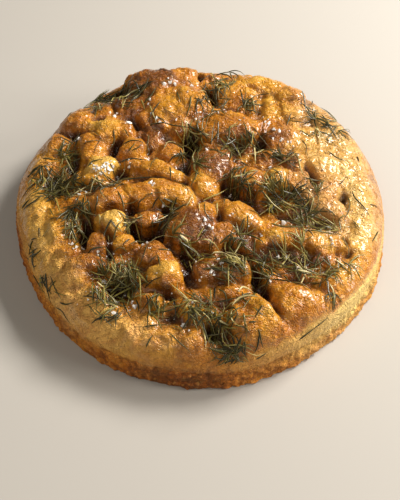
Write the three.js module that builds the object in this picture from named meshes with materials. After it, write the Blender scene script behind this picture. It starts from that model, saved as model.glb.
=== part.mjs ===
// A round focaccia, about 28 cm across: one loaf with a flat underside, a
// near-upright side baked against the tin, a rolled shoulder, and a top crust of
// risen bubbles pressed together with finger hollows between them.
//
// Millimetres, +Z up. The origin is the middle of the loaf's footprint, on the
// surface it stands on.
import * as THREE from 'three';

// ---- driving dimensions --------------------------------------------------
const LOAF_RADIUS = 140;        // mean plan radius at the table
const SIDE_LEAN = 2.4;          // the side leans in this much up to the shoulder
const OUTLINE_LOBES = [         // unevenness of the plan outline: lobes round, height, turn
  [2, 1.05, -1.34],
  [3, 0.99, 0.0],
  [4, 0.91, 1.56],
  [5, 0.78, -1.42],
  [6, 0.34, 2.1],
  [7, 0.64, -1.3],
];
const HEEL_INSET = 1.5;         // the flat underside stops this far short of the side
const HEEL_HEIGHT = 2.5;        // height of the rounded bottom edge
const SHOULDER_FOOT = 18;       // height where the upright side starts to roll over
const SHOULDER_WIDTH = 24;      // plan width of the rolled shoulder
const RIM_HEIGHT = 38;          // crust height just inside the shoulder, at the front
const BACK_RISE = 4.5;          // the rim stands this much higher at the back (+Y)
const TOP_HEIGHT = 42.5;        // crust height over the middle, away from bubbles
const RIM_WIDTH = 24;           // width over which the crust climbs from rim to middle
const TOP_TILT = 1.5;           // the loaf rose this much more on the +X side
const RIGHT_DROP = 5;           // but its rim on the +X side is lower by this much
const RIGHT_DROP_FROM = [88, 140]; // x over which it drops
const TIGHT_CORNER = {          // the shoulder is squarer at the front right
  at: -42, width: 24, power: 1.3, // degrees round from +X, degrees, added to 2 for a round one
};
const SKIRT = 0.42;             // share of a bubble's rise that draws up the dough round it
const SKIRT_MERGE = 5;
const BUBBLE_SPREAD = 1.48;     // foot of a bubble over its listed half-width
const BUBBLE_SINK = 4.5;        // a bubble's foot lies this far under the dough round it
const BUBBLE_FULLNESS = 0.62;   // exponent of the bubble's profile; 0.5 is an ellipsoid
const MERGE = 8;                // rounding where two bubbles run together
const CREASE_DEPTH = 1.3;       // extra depth of the fold between two bubbles
const CREASE_WIDTH = 1.4;
const HOLLOW_SHELTER = [1.5, 8]; // a hollow fades where a bubble rises this much over the dough

const SEGMENTS = 104;           // round the loaf
const SHOULDER_STEPS = 6;
const TOP_STEPS = 33;

// Bubbles of the top crust: name, x, y, half-length, half-width, turn of the
// long axis in degrees from +X, and height of the crown.
const BUBBLES = [
  ['back hump', -37, 94, 19, 13, 1, 64],
  ['back hump right', -20, 104, 10, 8, -12, 57],
  ['back big', -26, 72, 23, 21, 0, 61],
  ['back big gold', -14, 74, 14, 12, -85, 63],
  ['back flank', -50, 73, 15, 13, -72, 54],
  ['left back ball', -98, 58, 12, 10, -56, 53],
  ['left rim knob', -112, 36, 9, 8, -56, 47],
  ['back left brown', -63, 73, 9, 8, -71, 51],
  ['left ridge top', -75, 50, 14, 6, 2, 53],
  ['left ridge a', -85, 28, 11, 8, -77, 54],
  ['left ridge b', -74, 45, 10, 8, -87, 56],
  ['left ridge c', -53, 27, 8, 8, -32, 55],
  ['white cap', -73, 8, 10, 7, -3, 54],
  ['long roll', -30, 5, 14, 6, -22, 56],
  ['mid back low', -41, 45, 8, 6, -1, 50],
  ['ball 171', -26, 26, 8, 6, -1, 51],
  ['mid big', 6, 15, 14, 12, 79, 59],
  ['mid lobe', -2, -6, 9, 8, -1, 56],
  ['back loaf', 17, 52, 18, 13, 1, 59],
  ['back loaf right', 31, 52, 11, 9, 83, 56],
  ['back mid a', 22, 100, 14, 10, 5, 51],
  ['back mid a2', 0, 104, 8, 8, 62, 51],
  ['back mid b', 46, 107, 21, 11, -2, 53],
  ['back mid c', 27, 89, 11, 8, 6, 50],
  ['back right hump', 67, 94, 10, 8, 0, 56],
  ['back right ridge', 66, 83, 13, 8, -89, 52],
  ['back right in', 50, 83, 12, 10, 79, 49],
  ['right brown', 54, 51, 16, 11, 2, 52],
  ['right plateau a', 75, 46, 21, 14, 85, 48],
  ['right plateau b', 90, 68, 19, 16, -74, 46],
  ['right plateau c', 102, 31, 22, 18, 82, 45],
  ['right plateau c2', 85, 24, 13, 13, -85, 48],
  ['right plateau d', 112, -4, 19, 13, 78, 44],
  ['right plateau e', 113, -37, 21, 11, 82, 43],
  ['right plateau f', 102, -74, 17, 11, 70, 43],
  ['nub 287', 63, 24, 8, 6, 8, 49],
  ['ridge r1', 33, 1, 14, 8, 4, 58],
  ['ridge r2', 55, 3, 9, 7, 12, 57],
  ['ridge r3', 69, 5, 8, 6, 53, 54],
  ['valley nub3', 70, -20, 9, 6, 7, 42],
  ['right roll', 90, -18, 11, 6, -22, 52],
  ['mid ball', -6, -45, 14, 13, -5, 61],
  ['mid roll', 24, -33, 15, 8, -31, 59],
  ['mid roll low', 15, -49, 10, 7, -3, 55],
  ['arc a', -64, -23, 12, 7, 6, 57],
  ['arc b', -44, -17, 14, 8, 0, 58],
  ['arc c', -24, -15, 14, 8, -8, 58],
  ['arc e', -38, -37, 8, 6, -1, 52],
  ['yellow ball', -62, -43, 9, 6, -14, 57],
  ['left low c', -82, -84, 8, 6, 19, 45],
  ['left mid a', -99, -42, 10, 7, -75, 45],
  ['left edge a', -121, 14, 13, 8, -66, 42],
  ['left edge b', -120, -23, 16, 11, -76, 41],
  ['left edge c', -110, -54, 18, 12, -77, 40],
  ['left edge d', -95, -87, 14, 11, -78, 40],
  ['left edge e', -74, -109, 13, 10, -50, 40],
  ['front edge a', -52, -126, 13, 9, -21, 40],
  ['front edge b', -29, -134, 12, 8, -9, 41],
  ['front edge c', 1, -136, 13, 7, 4, 41],
  ['front ridge', -29, -69, 9, 7, -4, 55],
  ['front ball', -22, -85, 9, 6, -4, 56],
  ['front mid a', 7, -81, 9, 7, 0, 55],
  ['front mid b', 23, -80, 10, 7, -3, 57],
  ['front slope', -6, -99, 10, 8, 3, 45],
  ['front right loaf', 39, -116, 16, 12, -7, 54],
  ['front right loaf2', 56, -120, 12, 10, -11, 49],
  ['right front loaf', 63, -99, 15, 10, -13, 54],
  ['right front loaf2', 79, -101, 11, 10, 30, 49],
  ['row a', 54, -51, 14, 7, 3, 57],
  ['row under2', 89, -81, 7, 6, 57, 47],
];

// Finger hollows and folds: name, x, y, half-length, half-width, turn, depth.
const HOLLOWS = [
  ['pit left deep', -80, -47, 12, 6, -82, 18],
  ['pit cavity', -52, -26, 9, 6, 2, 12],
  ['pit cavity2', -45, -44, 8, 6, -83, 12],
  ['pit 166', -26, -26, 7, 4, -86, 12],
  ['valley v1b', 21, -4, 7, 6, 61, 10],
  ['valley v2', 3, 89, 14, 6, -89, 10],
  ['valley v3a', 13, 42, 12, 5, -18, 10],
  ['valley v3b', 40, 42, 7, 5, -14, 10],
  ['valley v5', -11, 39, 12, 6, -88, 12],
  ['valley v5b', -15, 12, 7, 5, 39, 8],
  ['valley v7a', -30, -49, 14, 4, 4, 12],
  ['valley v7b', -8, -67, 11, 5, -69, 9],
  ['crevice a', 37, -78, 10, 5, -77, 15],
  ['crevice b', 45, -93, 12, 5, -54, 17],
  ['valley v9', -53, -93, 12, 10, -1, 6],
  ['valley v12', 11, -123, 7, 6, 87, 7],
  ['hollow bl', -76, 89, 13, 7, 25, 7],
  ['crease 75', -98, 43, 9, 4, -5, 9],
  ['pit 117', -63, 4, 7, 5, 39, 13],
  ['hollow left', -109, -1, 12, 11, -18, 7],
  ['pit 140', -51, 57, 8, 5, -85, 7],
  ['valley 310', 80, 12, 13, 4, -74, 8],
  ['notch back', -10, 113, 10, 6, -88, 8],
  ['notch back left', -70, 93, 11, 7, 23, 6],
];

// Broad dips of the dough that the bubbles stand in, in the same order.
const DIPS = [
  ['basin v1', 39, -14, 29, 12, 2, 10],
  ['basin v7', -35, -47, 18, 11, 3, 7],
  ['basin front left', -53, -94, 20, 16, -1, 3],
  ['basin row under', 63, -68, 23, 8, -1, 6],
  ['basin front', 12, -126, 19, 10, 4, 3],
  ['basin left', -104, -8, 20, 18, -49, 3],
  ['basin back left', -80, 89, 24, 9, 23, 4],
  ['basin v3', 15, 38, 23, 8, -7, 6],
  ['basin v5', -14, 30, 23, 9, -87, 5],
  ['basin front mid', -8, -86, 19, 12, -87, 4],
];

// ---- shape functions -----------------------------------------------------
const { degToRad, radToDeg, smoothstep } = THREE.MathUtils;

const smoothMax = (a, b, k) => {
  const h = Math.max(k - Math.abs(a - b), 0) / k;
  return Math.max(a, b) + h * h * k * 0.25;
};

const outline = (angle) => OUTLINE_LOBES.reduce(
  (r, [n, height, turn]) => r + height * Math.sin(n * angle + turn), LOAF_RADIUS);

// Share of the outline that is left at height z, up to the shoulder.
const lean = (z) => 1 - (SIDE_LEAN / LOAF_RADIUS) * THREE.MathUtils.clamp(z / SHOULDER_FOOT, 0, 1) ** 1.2;

// How square the shoulder's roll is: 2 is round.
const squareness = (angle) => 2 + TIGHT_CORNER.power
  * Math.exp(-(((radToDeg(angle) - TIGHT_CORNER.at) / TIGHT_CORNER.width) ** 2));

// Squared distance from a feature's middle, 1 on its outline.
const reach = (x, y, [, cx, cy, a, b, turn], spread) => {
  const t = degToRad(turn);
  const u = (x - cx) * Math.cos(t) + (y - cy) * Math.sin(t);
  const v = -(x - cx) * Math.sin(t) + (y - cy) * Math.cos(t);
  return (u / (a * spread)) ** 2 + (v / (b * spread)) ** 2;
};

// Height of the dough between the bubbles.
const dough = (x, y) => {
  const inside = smoothstep(LOAF_RADIUS - SIDE_LEAN - SHOULDER_WIDTH - Math.hypot(x, y), 0, RIM_WIDTH);
  const rim = RIM_HEIGHT + BACK_RISE * smoothstep(y, 20, 120);
  let level = rim + (TOP_HEIGHT - rim) * inside + (TOP_TILT * x) / LOAF_RADIUS
    - RIGHT_DROP * smoothstep(x, ...RIGHT_DROP_FROM);
  for (const dip of DIPS) level -= dip[6] * Math.exp(-1.2 * reach(x, y, dip, 1));
  let height = level;
  for (const bubble of BUBBLES) {
    const q = reach(x, y, bubble, 1);
    if (q > 7) continue;
    const skirt = level + SKIRT * Math.max(bubble[6] - level, 0) * Math.exp(-0.55 * q);
    height = smoothMax(height, skirt, SKIRT_MERGE);
  }
  return height;
};

// Height of the crust above the table, before the shoulder rolls it over.
const crust = (x, y) => {
  const base = dough(x, y);
  let height = base;
  let first = base;
  let second = -Infinity;
  for (const bubble of BUBBLES) {
    const q = reach(x, y, bubble, BUBBLE_SPREAD);
    if (q >= 1) continue;
    const foot = Math.min(base, bubble[6]) - BUBBLE_SINK;
    const z = foot + (bubble[6] - foot) * (1 - q) ** BUBBLE_FULLNESS;
    height = smoothMax(height, z, MERGE);
    if (z > first) { second = first; first = z; } else if (z > second) { second = z; }
  }
  if (second > base - 1) {
    height -= CREASE_DEPTH * Math.exp(-(((first - second) / CREASE_WIDTH) ** 2));
  }
  for (const hollow of HOLLOWS) {
    const shelter = 1 - 0.85 * smoothstep(height - base, ...HOLLOW_SHELTER);
    height -= hollow[6] * Math.exp(-1.6 * reach(x, y, hollow, 1)) * shelter;
  }
  return height;
};

// ---- profile: underside, heel, side, shoulder, top -----------------------
const side = (z) => LOAF_RADIUS * lean(z);
const profile = [[0, 0], [70, 0], [LOAF_RADIUS - HEEL_INSET, 0]];
for (const z of [HEEL_HEIGHT, SHOULDER_FOOT / 2]) profile.push([side(z), z]);
const shoulderStart = profile.length;
const shoulderRadius = LOAF_RADIUS - SIDE_LEAN;
for (let k = 0; k < SHOULDER_STEPS; k += 1) {
  const a = (k / SHOULDER_STEPS) * (Math.PI / 2);
  profile.push([shoulderRadius - SHOULDER_WIDTH * (1 - Math.cos(a)), SHOULDER_FOOT + Math.sin(a)]);
}
const topRadius = shoulderRadius - SHOULDER_WIDTH;
for (let k = 0; k < TOP_STEPS; k += 1) {
  profile.push([topRadius * (1 - k / TOP_STEPS) ** 0.95, TOP_HEIGHT]);
}
profile.push([0, TOP_HEIGHT]);

const geometry = new THREE.LatheGeometry(
  profile.map(([r, z]) => new THREE.Vector2(r, z)), SEGMENTS);
geometry.rotateX(Math.PI / 2);

const place = geometry.getAttribute('position');
for (let i = 0; i < place.count; i += 1) {
  const radius = Math.hypot(place.getX(i), place.getY(i));
  const angle = Math.atan2(place.getY(i), place.getX(i));
  const r = (radius * outline(angle)) / LOAF_RADIUS;
  const x = r * Math.cos(angle);
  const y = r * Math.sin(angle);
  let z = place.getZ(i);
  if (i % profile.length >= shoulderStart) {
    const over = Math.max(0, (radius - topRadius) / SHOULDER_WIDTH);
    const power = squareness(angle);
    z = SHOULDER_FOOT + (crust(x, y) - SHOULDER_FOOT) * Math.max(0, 1 - over ** power) ** (1 / power);
  }
  place.setXYZ(i, x, y, z);
}

// Each four-sided patch of the lathe folds along its flatter diagonal, so that
// ridges and hollows aren't dragged round the loaf.
const index = geometry.getIndex();
const corner = (v) => new THREE.Vector3().fromBufferAttribute(place, v);
const bend = (a, b, c, d) => {   // angle between triangles a b c and a c d
  const n1 = new THREE.Triangle(corner(a), corner(b), corner(c)).getNormal(new THREE.Vector3());
  const n2 = new THREE.Triangle(corner(a), corner(c), corner(d)).getNormal(new THREE.Vector3());
  return n1.angleTo(n2);
};
const rings = profile.length;
for (let t = 0; t < index.count; t += 6) {
  const [a, b, d, c] = [0, 1, 2, 3].map((k) => index.getX(t + k));
  if (a % rings < shoulderStart || a % rings >= rings - 2) continue;
  if (bend(a, b, c, d) < bend(b, c, d, a)) {
    [a, b, c, c, d, a].forEach((v, k) => index.setX(t + k, v));
  }
}

// The footprint is centred on the origin.
geometry.computeBoundingBox();
const box = geometry.boundingBox;
geometry.translate(-(box.min.x + box.max.x) / 2, -(box.min.y + box.max.y) / 2, -box.min.z);
geometry.computeVertexNormals();

const bread = new THREE.Mesh(geometry, new THREE.MeshStandardMaterial({
  color: 0xb9772c, roughness: 0.45, metalness: 0,
}));
bread.name = 'bread';

const focaccia = new THREE.Group();
focaccia.name = 'focaccia';
focaccia.add(bread);

export default focaccia;
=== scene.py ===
import math
import bpy
import numpy as np
from mathutils import Matrix, Vector
from mathutils.bvhtree import BVHTree


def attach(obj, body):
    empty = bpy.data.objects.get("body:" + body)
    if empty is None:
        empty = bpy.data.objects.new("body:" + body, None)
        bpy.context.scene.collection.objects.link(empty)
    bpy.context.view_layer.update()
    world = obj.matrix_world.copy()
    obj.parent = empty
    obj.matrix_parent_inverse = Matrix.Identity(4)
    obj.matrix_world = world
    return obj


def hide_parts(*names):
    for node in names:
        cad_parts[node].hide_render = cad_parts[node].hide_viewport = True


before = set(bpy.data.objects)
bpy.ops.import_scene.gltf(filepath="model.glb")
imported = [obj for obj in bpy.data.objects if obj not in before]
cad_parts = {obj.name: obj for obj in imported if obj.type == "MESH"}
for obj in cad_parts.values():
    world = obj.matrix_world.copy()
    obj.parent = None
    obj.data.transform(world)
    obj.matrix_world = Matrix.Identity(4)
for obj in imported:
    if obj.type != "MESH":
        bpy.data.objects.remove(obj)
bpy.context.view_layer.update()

# ============================================================================
# Sizes of the loaf, in millimetres
# ============================================================================
RAD = 140.0                    # plan radius at the table
LEAN = 2.4                     # the side leans in this much by the foot of the shoulder
LOBES = [(2, 1.05, -1.34), (3, 0.99, 0.0), (4, 0.91, 1.56), (5, 0.78, -1.42), (6, 0.34, 2.1), (7, 0.64, -1.3)]
HEEL_IN, HEEL_UP = 1.5, 2.5    # the worn corner under the loaf
FOOT, SHOULDER = 18.0, 24.0    # the side wall's height, and the radius of the shoulder above it
RIM_H, TOP_H, RIM_W, TILT, BACK = 38.0, 42.5, 24.0, 1.5, 4.5
SPREAD, SINK, MERGE = 1.48, 4.5, 8.0

# Bubbles of the crust: x, y, half length, half width, turn in degrees, height of the crown, how brown it is baked
BUBBLES = [
    (-36.6, 94.3, 18.9, 13.1, 1, 64, 0.92), (-19.7, 104.3, 10.5, 8.1, -12, 57, 0.4), (-25.8, 72.1, 23.2, 21.3, 0, 61, 0.5),
    (-14.3, 74.1, 13.5, 11.6, -85, 63, 0.35), (-50.1, 73.3, 14.8, 13.2, -72, 54, 0.9), (-97.5, 58.2, 11.7, 10, -56, 53, 0.6),
    (-111.6, 36.5, 8.9, 8, -56, 47, 0.45), (-80.9, 68.2, 6.4, 5.8, -29, 50, 0.6), (-63.4, 72.8, 9.1, 7.7, -71, 51, 0.8),
    (-74.8, 49.6, 14.4, 6.4, 2, 53, 0.25), (-85.2, 27.6, 11, 8.1, -77, 54, 0.5), (-73.6, 45.4, 10.3, 7.6, -87, 56, 0.35),
    (-52.9, 27.4, 8.4, 7.7, -32, 55, 0.45), (-61.4, 45.2, 6.4, 5.9, -54, 53, 0.6), (-73.2, 8.3, 10.2, 6.9, -3, 54, 0),
    (-80.8, -2.8, 8, 4.9, -1, 50, 0.4), (-49.4, 12.3, 8.1, 5.1, -5, 52, 0.6), (-29.7, 5, 14, 6.5, -22, 56, 0.45),
    (-40.9, 45.3, 8.4, 6.3, -1, 50, 0.9), (-26, 26.5, 7.5, 6, -1, 51, 0.75), (-17.4, 47.6, 6.1, 5.6, -3, 51, 0.7),
    (5.6, 14.8, 14.5, 12.5, 79, 59, 0.96), (-2.3, -5.9, 9.4, 8.3, -1, 56, 0.45), (17.3, 52, 18.3, 12.7, 1, 59, 0.6),
    (31.3, 51.7, 10.6, 9.2, 83, 56, 0.45), (22.5, 99.9, 14.5, 9.6, 5, 51, 0.45), (-0.2, 104.3, 8.1, 8, 62, 51, 0.55),
    (46.5, 107.2, 20.9, 10.7, -2, 53, 0.35), (27.4, 88.6, 11.2, 7.8, 6, 50, 0.5), (66.6, 94.2, 9.5, 8, 0, 56, 0.45),
    (66.2, 82.9, 13.3, 8, -89, 52, 0.4), (49.7, 83.3, 12.4, 10.2, 79, 49, 0.4), (54.5, 50.8, 16.1, 11.1, 2, 52.5, 0.85),
    (75.3, 45.9, 21.2, 13.8, 85, 48, 0.24), (90.4, 67.5, 19.4, 15.5, -74, 46, 0.22), (102.2, 31.4, 22.2, 17.7, 82, 45, 0.16),
    (85, 23.7, 13.4, 13.2, -85, 48, 0.2), (112.4, -4.2, 18.8, 13, 78, 44, 0.1), (113.4, -37.1, 21.4, 11.2, 82, 43, 0.1),
    (102.3, -73.9, 16.6, 11.3, 70, 43, 0.2), (31.7, 34, 6.1, 5.4, 13, 48, 0.9), (46.6, 24.9, 6.4, 5.2, 11, 50, 0.8),
    (63.2, 24.3, 8.3, 5.9, 8, 49, 0.85), (32.8, 1.4, 13.8, 8.5, 4, 58, 0.6), (54.6, 2.9, 8.8, 7.3, 12, 57, 0.45),
    (68.8, 4.6, 7.8, 6.2, 53, 54, 0.6), (76.2, -3.9, 5.5, 5.3, -27, 49, 0.6), (41.7, -10.9, 6.6, 5.7, 16, 42, 0.6),
    (61.8, -14.2, 7.3, 4, 5, 44, 0.5), (69.6, -20.4, 9.4, 5.6, 7, 42, 0.9), (89.6, -18, 10.8, 6.5, -22, 52, 0.5),
    (85.1, -0.9, 7.1, 5.7, -4, 49, 0.55), (-5.7, -44.9, 13.7, 13.1, -5, 61, 0.85), (3.5, -33.2, 7, 5.5, 2, 58, 0.55),
    (24.4, -33.2, 14.9, 8.2, -31, 59, 0.55), (14.6, -49.3, 10.3, 6.8, -3, 55, 0.65), (29.3, -53.5, 6.2, 5.2, 6, 50, 0.9),
    (-63.8, -23.1, 12.5, 7, 6, 57, 0.55), (-43.9, -17.1, 13.5, 7.5, 0, 57.5, 0.5), (-24.1, -14.9, 14.3, 8.1, -8, 58, 0.42),
    (-9.4, -23.4, 5.6, 4.7, -28, 53, 0.5), (-38.1, -37.3, 8.4, 5.5, -1, 52, 0.8), (-61.7, -43, 9.1, 6.3, -14, 57, 0.05),
    (-53.5, -58.1, 6.5, 5.1, 4, 53, 0.25), (-43.8, -60.2, 4.1, 2.7, 0, 48, 0.35), (-82.9, -26.6, 5.9, 4.8, -62, 51, 0.5),
    (-69, -61.4, 6.8, 5.5, -85, 51, 0.7), (-74.7, -75.8, 10.7, 4.4, 1, 49, 0.6), (-89.6, -66.8, 8.1, 3.6, 0, 46, 0.75),
    (-82, -83.5, 7.8, 6.5, 19, 45, 0.7), (-98.8, -41.7, 9.7, 6.9, -75, 45, 0.5), (-120.6, 14.4, 13, 7.5, -66, 42, 0.4),
    (-119.7, -23, 16, 10.6, -76, 41, 0.15), (-109.8, -53.8, 17.7, 11.6, -77, 40, 0.15), (-95.2, -86.7, 13.8, 10.7, -78, 40, 0.18),
    (-73.6, -109.2, 13.1, 10.3, -50, 40, 0.2), (-51.6, -126.1, 13.2, 9.3, -21, 40, 0.25), (-28.6, -133.8, 11.5, 7.9, -9, 41, 0.65),
    (0.7, -136.5, 12.6, 7.2, 4, 41, 0.6), (-29.4, -68.8, 8.8, 6.7, -4, 55, 0.7), (-22.3, -84.8, 8.9, 6.4, -4, 56, 0.22),
    (-31.1, -100.8, 7.1, 4.8, 8, 46, 0.5), (-51.3, -82, 8, 5, 0, 46, 0.75), (-67.3, -95.7, 6.6, 5.9, -13, 43, 0.6),
    (6.7, -81.1, 8.6, 6.9, 0, 55, 0.85), (22.6, -79.9, 9.7, 7.2, -3, 57, 0.7), (22.3, -93.9, 7.2, 4.1, 3, 51, 0.55),
    (-5.6, -98.9, 9.9, 8.3, 3, 45, 0.6), (-18.6, -90.5, 6.6, 4.9, 0, 46, 0.8), (-2.2, -130.6, 7.6, 5.7, 73, 45, 0.5),
    (0.7, -109.7, 9.7, 4.7, -10, 46, 0.35), (11.9, -113.7, 6.5, 5.3, 4, 46, 0.5), (39.3, -116, 15.6, 12.5, -7, 54, 0.5),
    (56.2, -119.5, 12.4, 9.7, -11, 49, 0.6), (43.4, -109.6, 11.6, 4.5, -34, 55, 0.35), (62.9, -99.3, 14.9, 9.6, -13, 54, 0.62),
    (78.8, -101.4, 10.8, 9.5, 30, 49, 0.35), (53.6, -51.4, 13.7, 7.2, 3, 57, 0.38), (66.8, -52.4, 6.5, 5.9, 44, 55, 0.55),
    (77.2, -51.9, 7, 6, 22, 54, 0.3), (90.6, -51.2, 9, 5.2, 3, 51, 0.35), (83.6, -63.1, 9, 4.9, 5, 47, 0.75),
    (50.1, -61.8, 13, 4.1, 0, 47, 0.9), (88.7, -81.1, 7.4, 6.5, 57, 47, 0.55), (65.6, -71.9, 9.5, 4.7, 0, 45, 0.9),
]
# Finger hollows and folds between bubbles: x, y, half length, half width, turn, depth
HOLLOWS = [
    (-80, -47.3, 12.4, 6.2, -82, 18), (-62.2, -63.6, 6, 2.7, -83, 9), (-51.9, -26.5, 9.2, 6.5, 2, 12),
    (-44.7, -44.2, 8, 6.3, -83, 12), (-25.6, -25.7, 7.4, 4.3, -86, 12), (21.2, -3.7, 6.9, 6.5, 61, 10),
    (2.9, 89.4, 13.9, 5.6, -89, 10), (12.8, 42.3, 12.5, 5.2, -18, 10), (39.6, 42.1, 6.9, 5.3, -14, 10),
    (42.1, 77.3, 9.1, 3.2, 89, 6), (18.7, 11.9, 11.5, 3.1, 69, 9), (-10.7, 38.6, 11.6, 6.1, -88, 12),
    (-14.7, 11.6, 7.1, 4.7, 39, 8), (63, -27.3, 12.8, 3.7, 0, 7), (-29.6, -49.4, 13.9, 4.4, 4, 12),
    (-8.5, -67.1, 11.4, 4.9, -69, 9), (24.9, -60.7, 11.2, 3.4, -24, 8), (37.3, -77.6, 9.6, 4.9, -77, 15),
    (45.2, -93.3, 12.2, 5.2, -54, 17), (-53, -92.9, 11.9, 9.6, -1, 6), (62.2, -55.8, 15.2, 2.6, -1, 6),
    (-16, -112.5, 14.3, 6.1, 3, 5), (11, -123, 6.7, 5.8, 87, 7), (25.9, -139.6, 11.3, 3.6, 4, 7),
    (-76.4, 89.4, 13, 6.9, 25, 7), (-98.3, 43.1, 9.3, 4.2, -5, 9), (-95.9, 14.1, 14.2, 3.7, -82, 6),
    (-62.9, 4.4, 6.9, 4.7, 39, 13), (-109.3, -0.7, 11.8, 10.6, -18, 7), (-51.2, 57.2, 7.7, 4.6, -85, 7),
    (79.7, 12, 13, 4, -74, 8), (84.2, -31.4, 11.3, 2.7, 0, 7), (100.8, -5.1, 7.8, 3.6, 78, 9),
    (79.6, 65.5, 8, 6.5, 18, 4), (65.6, -79.9, 13.5, 2.5, 0, 5), (-17, -96.3, 5.3, 3.2, 3, 8),
    (102.2, -47.2, 11.5, 2.1, 86, 5), (-81.8, -91.4, 7.1, 4.5, 59, 3), (-67.3, 32.5, 9.2, 3.1, 86, 9),
    (-42.8, 29, 6.2, 3, -85, 6), (63.8, 90.4, 8.1, 4, 87, 4), (100.9, -56.8, 4.4, 2.7, 81, 4),
    (70.6, -124, 10.1, 2, 47, 5), (3.7, -62.9, 4.1, 3.4, 7, 5), (-10.2, 113.4, 9.7, 5.7, -88, 8),
    (-70.4, 93.3, 11.4, 6.9, 23, 6),
]
# Broad dips of the crust under the bubbles
DIPS = [
    (38.8, -14, 28.9, 12.3, 2, 10), (-35.3, -47.1, 18.1, 10.6, 3, 7), (-52.9, -94.5, 19.8, 15.9, -1, 3),
    (63.2, -67.7, 23.2, 7.6, -1, 6), (12.3, -125.9, 19.2, 10.3, 4, 3), (-103.9, -8.2, 19.8, 18.3, -49, 3),
    (-79.6, 89.2, 24.3, 9.2, 23, 4), (15.2, 38.3, 22.9, 8.4, -7, 6), (-14.1, 30, 22.8, 9.1, -87, 5),
    (-8.2, -86.1, 19.4, 12, -87, 4),
]


# ============================================================================
# Noise
# ============================================================================
class Noise:
    def __init__(self, seed):
        rng = np.random.RandomState(seed)
        self.p = np.concatenate([rng.permutation(256)] * 3)
        g = rng.normal(size=(256, 3))
        self.g = g / np.linalg.norm(g, axis=1)[:, None]

    def __call__(self, x, y, z=0.0):
        x, y, z = np.broadcast_arrays(np.asarray(x, float), y, z)
        xi, yi, zi = np.floor(x).astype(int), np.floor(y).astype(int), np.floor(z).astype(int)
        xf, yf, zf = x - xi, y - yi, z - zi
        u, v, w = (t * t * t * (t * (t * 6 - 15) + 10) for t in (xf, yf, zf))
        out = 0.0
        for dx in (0, 1):
            for dy in (0, 1):
                for dz in (0, 1):
                    h = self.p[(self.p[(self.p[(xi + dx) & 255] + yi + dy) & 255] + zi + dz) & 255]
                    g = self.g[h]
                    d = g[..., 0] * (xf - dx) + g[..., 1] * (yf - dy) + g[..., 2] * (zf - dz)
                    out = out + d * (u if dx else 1 - u) * (v if dy else 1 - v) * (w if dz else 1 - w)
        return out * 1.6


def cells(seed, x, y, size):
    """Scattered round blisters: distance to the nearest centre, in that blister's own radii."""
    cx, cy = np.floor(x / size).astype(int), np.floor(y / size).astype(int)
    t = np.random.RandomState(seed).rand(64, 64, 4)
    best = np.full(np.shape(x), 9.0)
    for dx in (-1, 0, 1):
        for dy in (-1, 0, 1):
            c = t[(cx + dx) % 64, (cy + dy) % 64]
            px, py = (cx + dx + c[..., 0]) * size, (cy + dy + c[..., 1]) * size
            best = np.minimum(best, np.hypot(x - px, y - py) / (size * (0.22 + 0.4 * c[..., 2] ** 2)))
    return best


N1, N2, N3, N4 = Noise(11), Noise(23), Noise(37), Noise(51)


def smax(a, b, k):
    h = np.maximum(k - np.abs(a - b), 0) / k
    return np.maximum(a, b) + h * h * k * 0.25


def smoothstep(x, a, b):
    t = np.clip((x - a) / (b - a), 0, 1)
    return t * t * (3 - 2 * t)


def outline(t):
    r = RAD
    for n, h, p in LOBES:
        r = r + h * np.sin(n * t + p)
    return r


def reach(x, y, f, spread):
    t = math.radians(f[4])
    c, s = math.cos(t), math.sin(t)
    u, v = (x - f[0]) * c + (y - f[1]) * s, -(x - f[0]) * s + (y - f[1]) * c
    return (u / (f[2] * spread)) ** 2 + (v / (f[3] * spread)) ** 2


def warped(x, y):
    return (x + 2.8 * N1(x / 17, y / 17) + 1.7 * N1(x / 7, y / 7, 3.3),
            y + 2.8 * N2(x / 17, y / 17) + 1.7 * N2(x / 7, y / 7, 3.3))


def crust(x, y):
    """Height of the top crust."""
    wx, wy = warped(x, y)
    inside = smoothstep(RAD - LEAN - SHOULDER - np.hypot(x, y), 0, RIM_W)
    rim = RIM_H + BACK * smoothstep(y, 20, 120)
    level = rim + (TOP_H - rim) * inside + TILT * x / RAD - 5.0 * smoothstep(x, 88, 140)
    for f in DIPS:
        q = reach(wx, wy, f, 1.0)
        level = level - f[5] * np.exp(-1.2 * q) * (q < 6)
    skirt = level.copy()                       # the dough is drawn up towards each bubble
    for f in BUBBLES:
        q = reach(wx, wy, f, 1.0)
        s = level + 0.42 * np.maximum(f[5] - level, 0) * np.exp(-0.55 * q)
        skirt = np.where(q < 7, smax(skirt, s, 5.0), skirt)
    base = skirt + 1.5 * N1(x / 15, y / 15, 9.1) + 1.1 * N2(x / 6.5, y / 6.5, 5.5)
    lump = 1 + 0.46 * N3(x / 10.5, y / 10.5, 2.6) + 0.24 * N4(x / 5.2, y / 5.2, 6.4)
    h = base.copy()
    first, second = base.copy(), np.full(x.shape, -99.0)
    for f in BUBBLES:
        q = reach(wx, wy, f, SPREAD) * lump
        foot = np.minimum(base, f[5]) - SINK
        z = foot + (f[5] - foot) * np.maximum(1 - q, 0) ** 0.62
        m = q < 1
        h = np.where(m, smax(h, z, MERGE), h)
        lead = m & (z > first)
        second = np.where(lead, first, np.where(m & (z > second), z, second))
        first = np.where(lead, z, first)
    h = h - 1.3 * np.exp(-((first - second) / 1.4) ** 2) * (second > base - 1.0)   # creases where bubbles meet
    for f in HOLLOWS:
        q = reach(wx, wy, f, 1.0)
        h = h - f[5] * np.exp(-1.6 * q) * (q < 6) * (1 - 0.85 * smoothstep(h - base, 1.5, 8.0))
    return h


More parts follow.
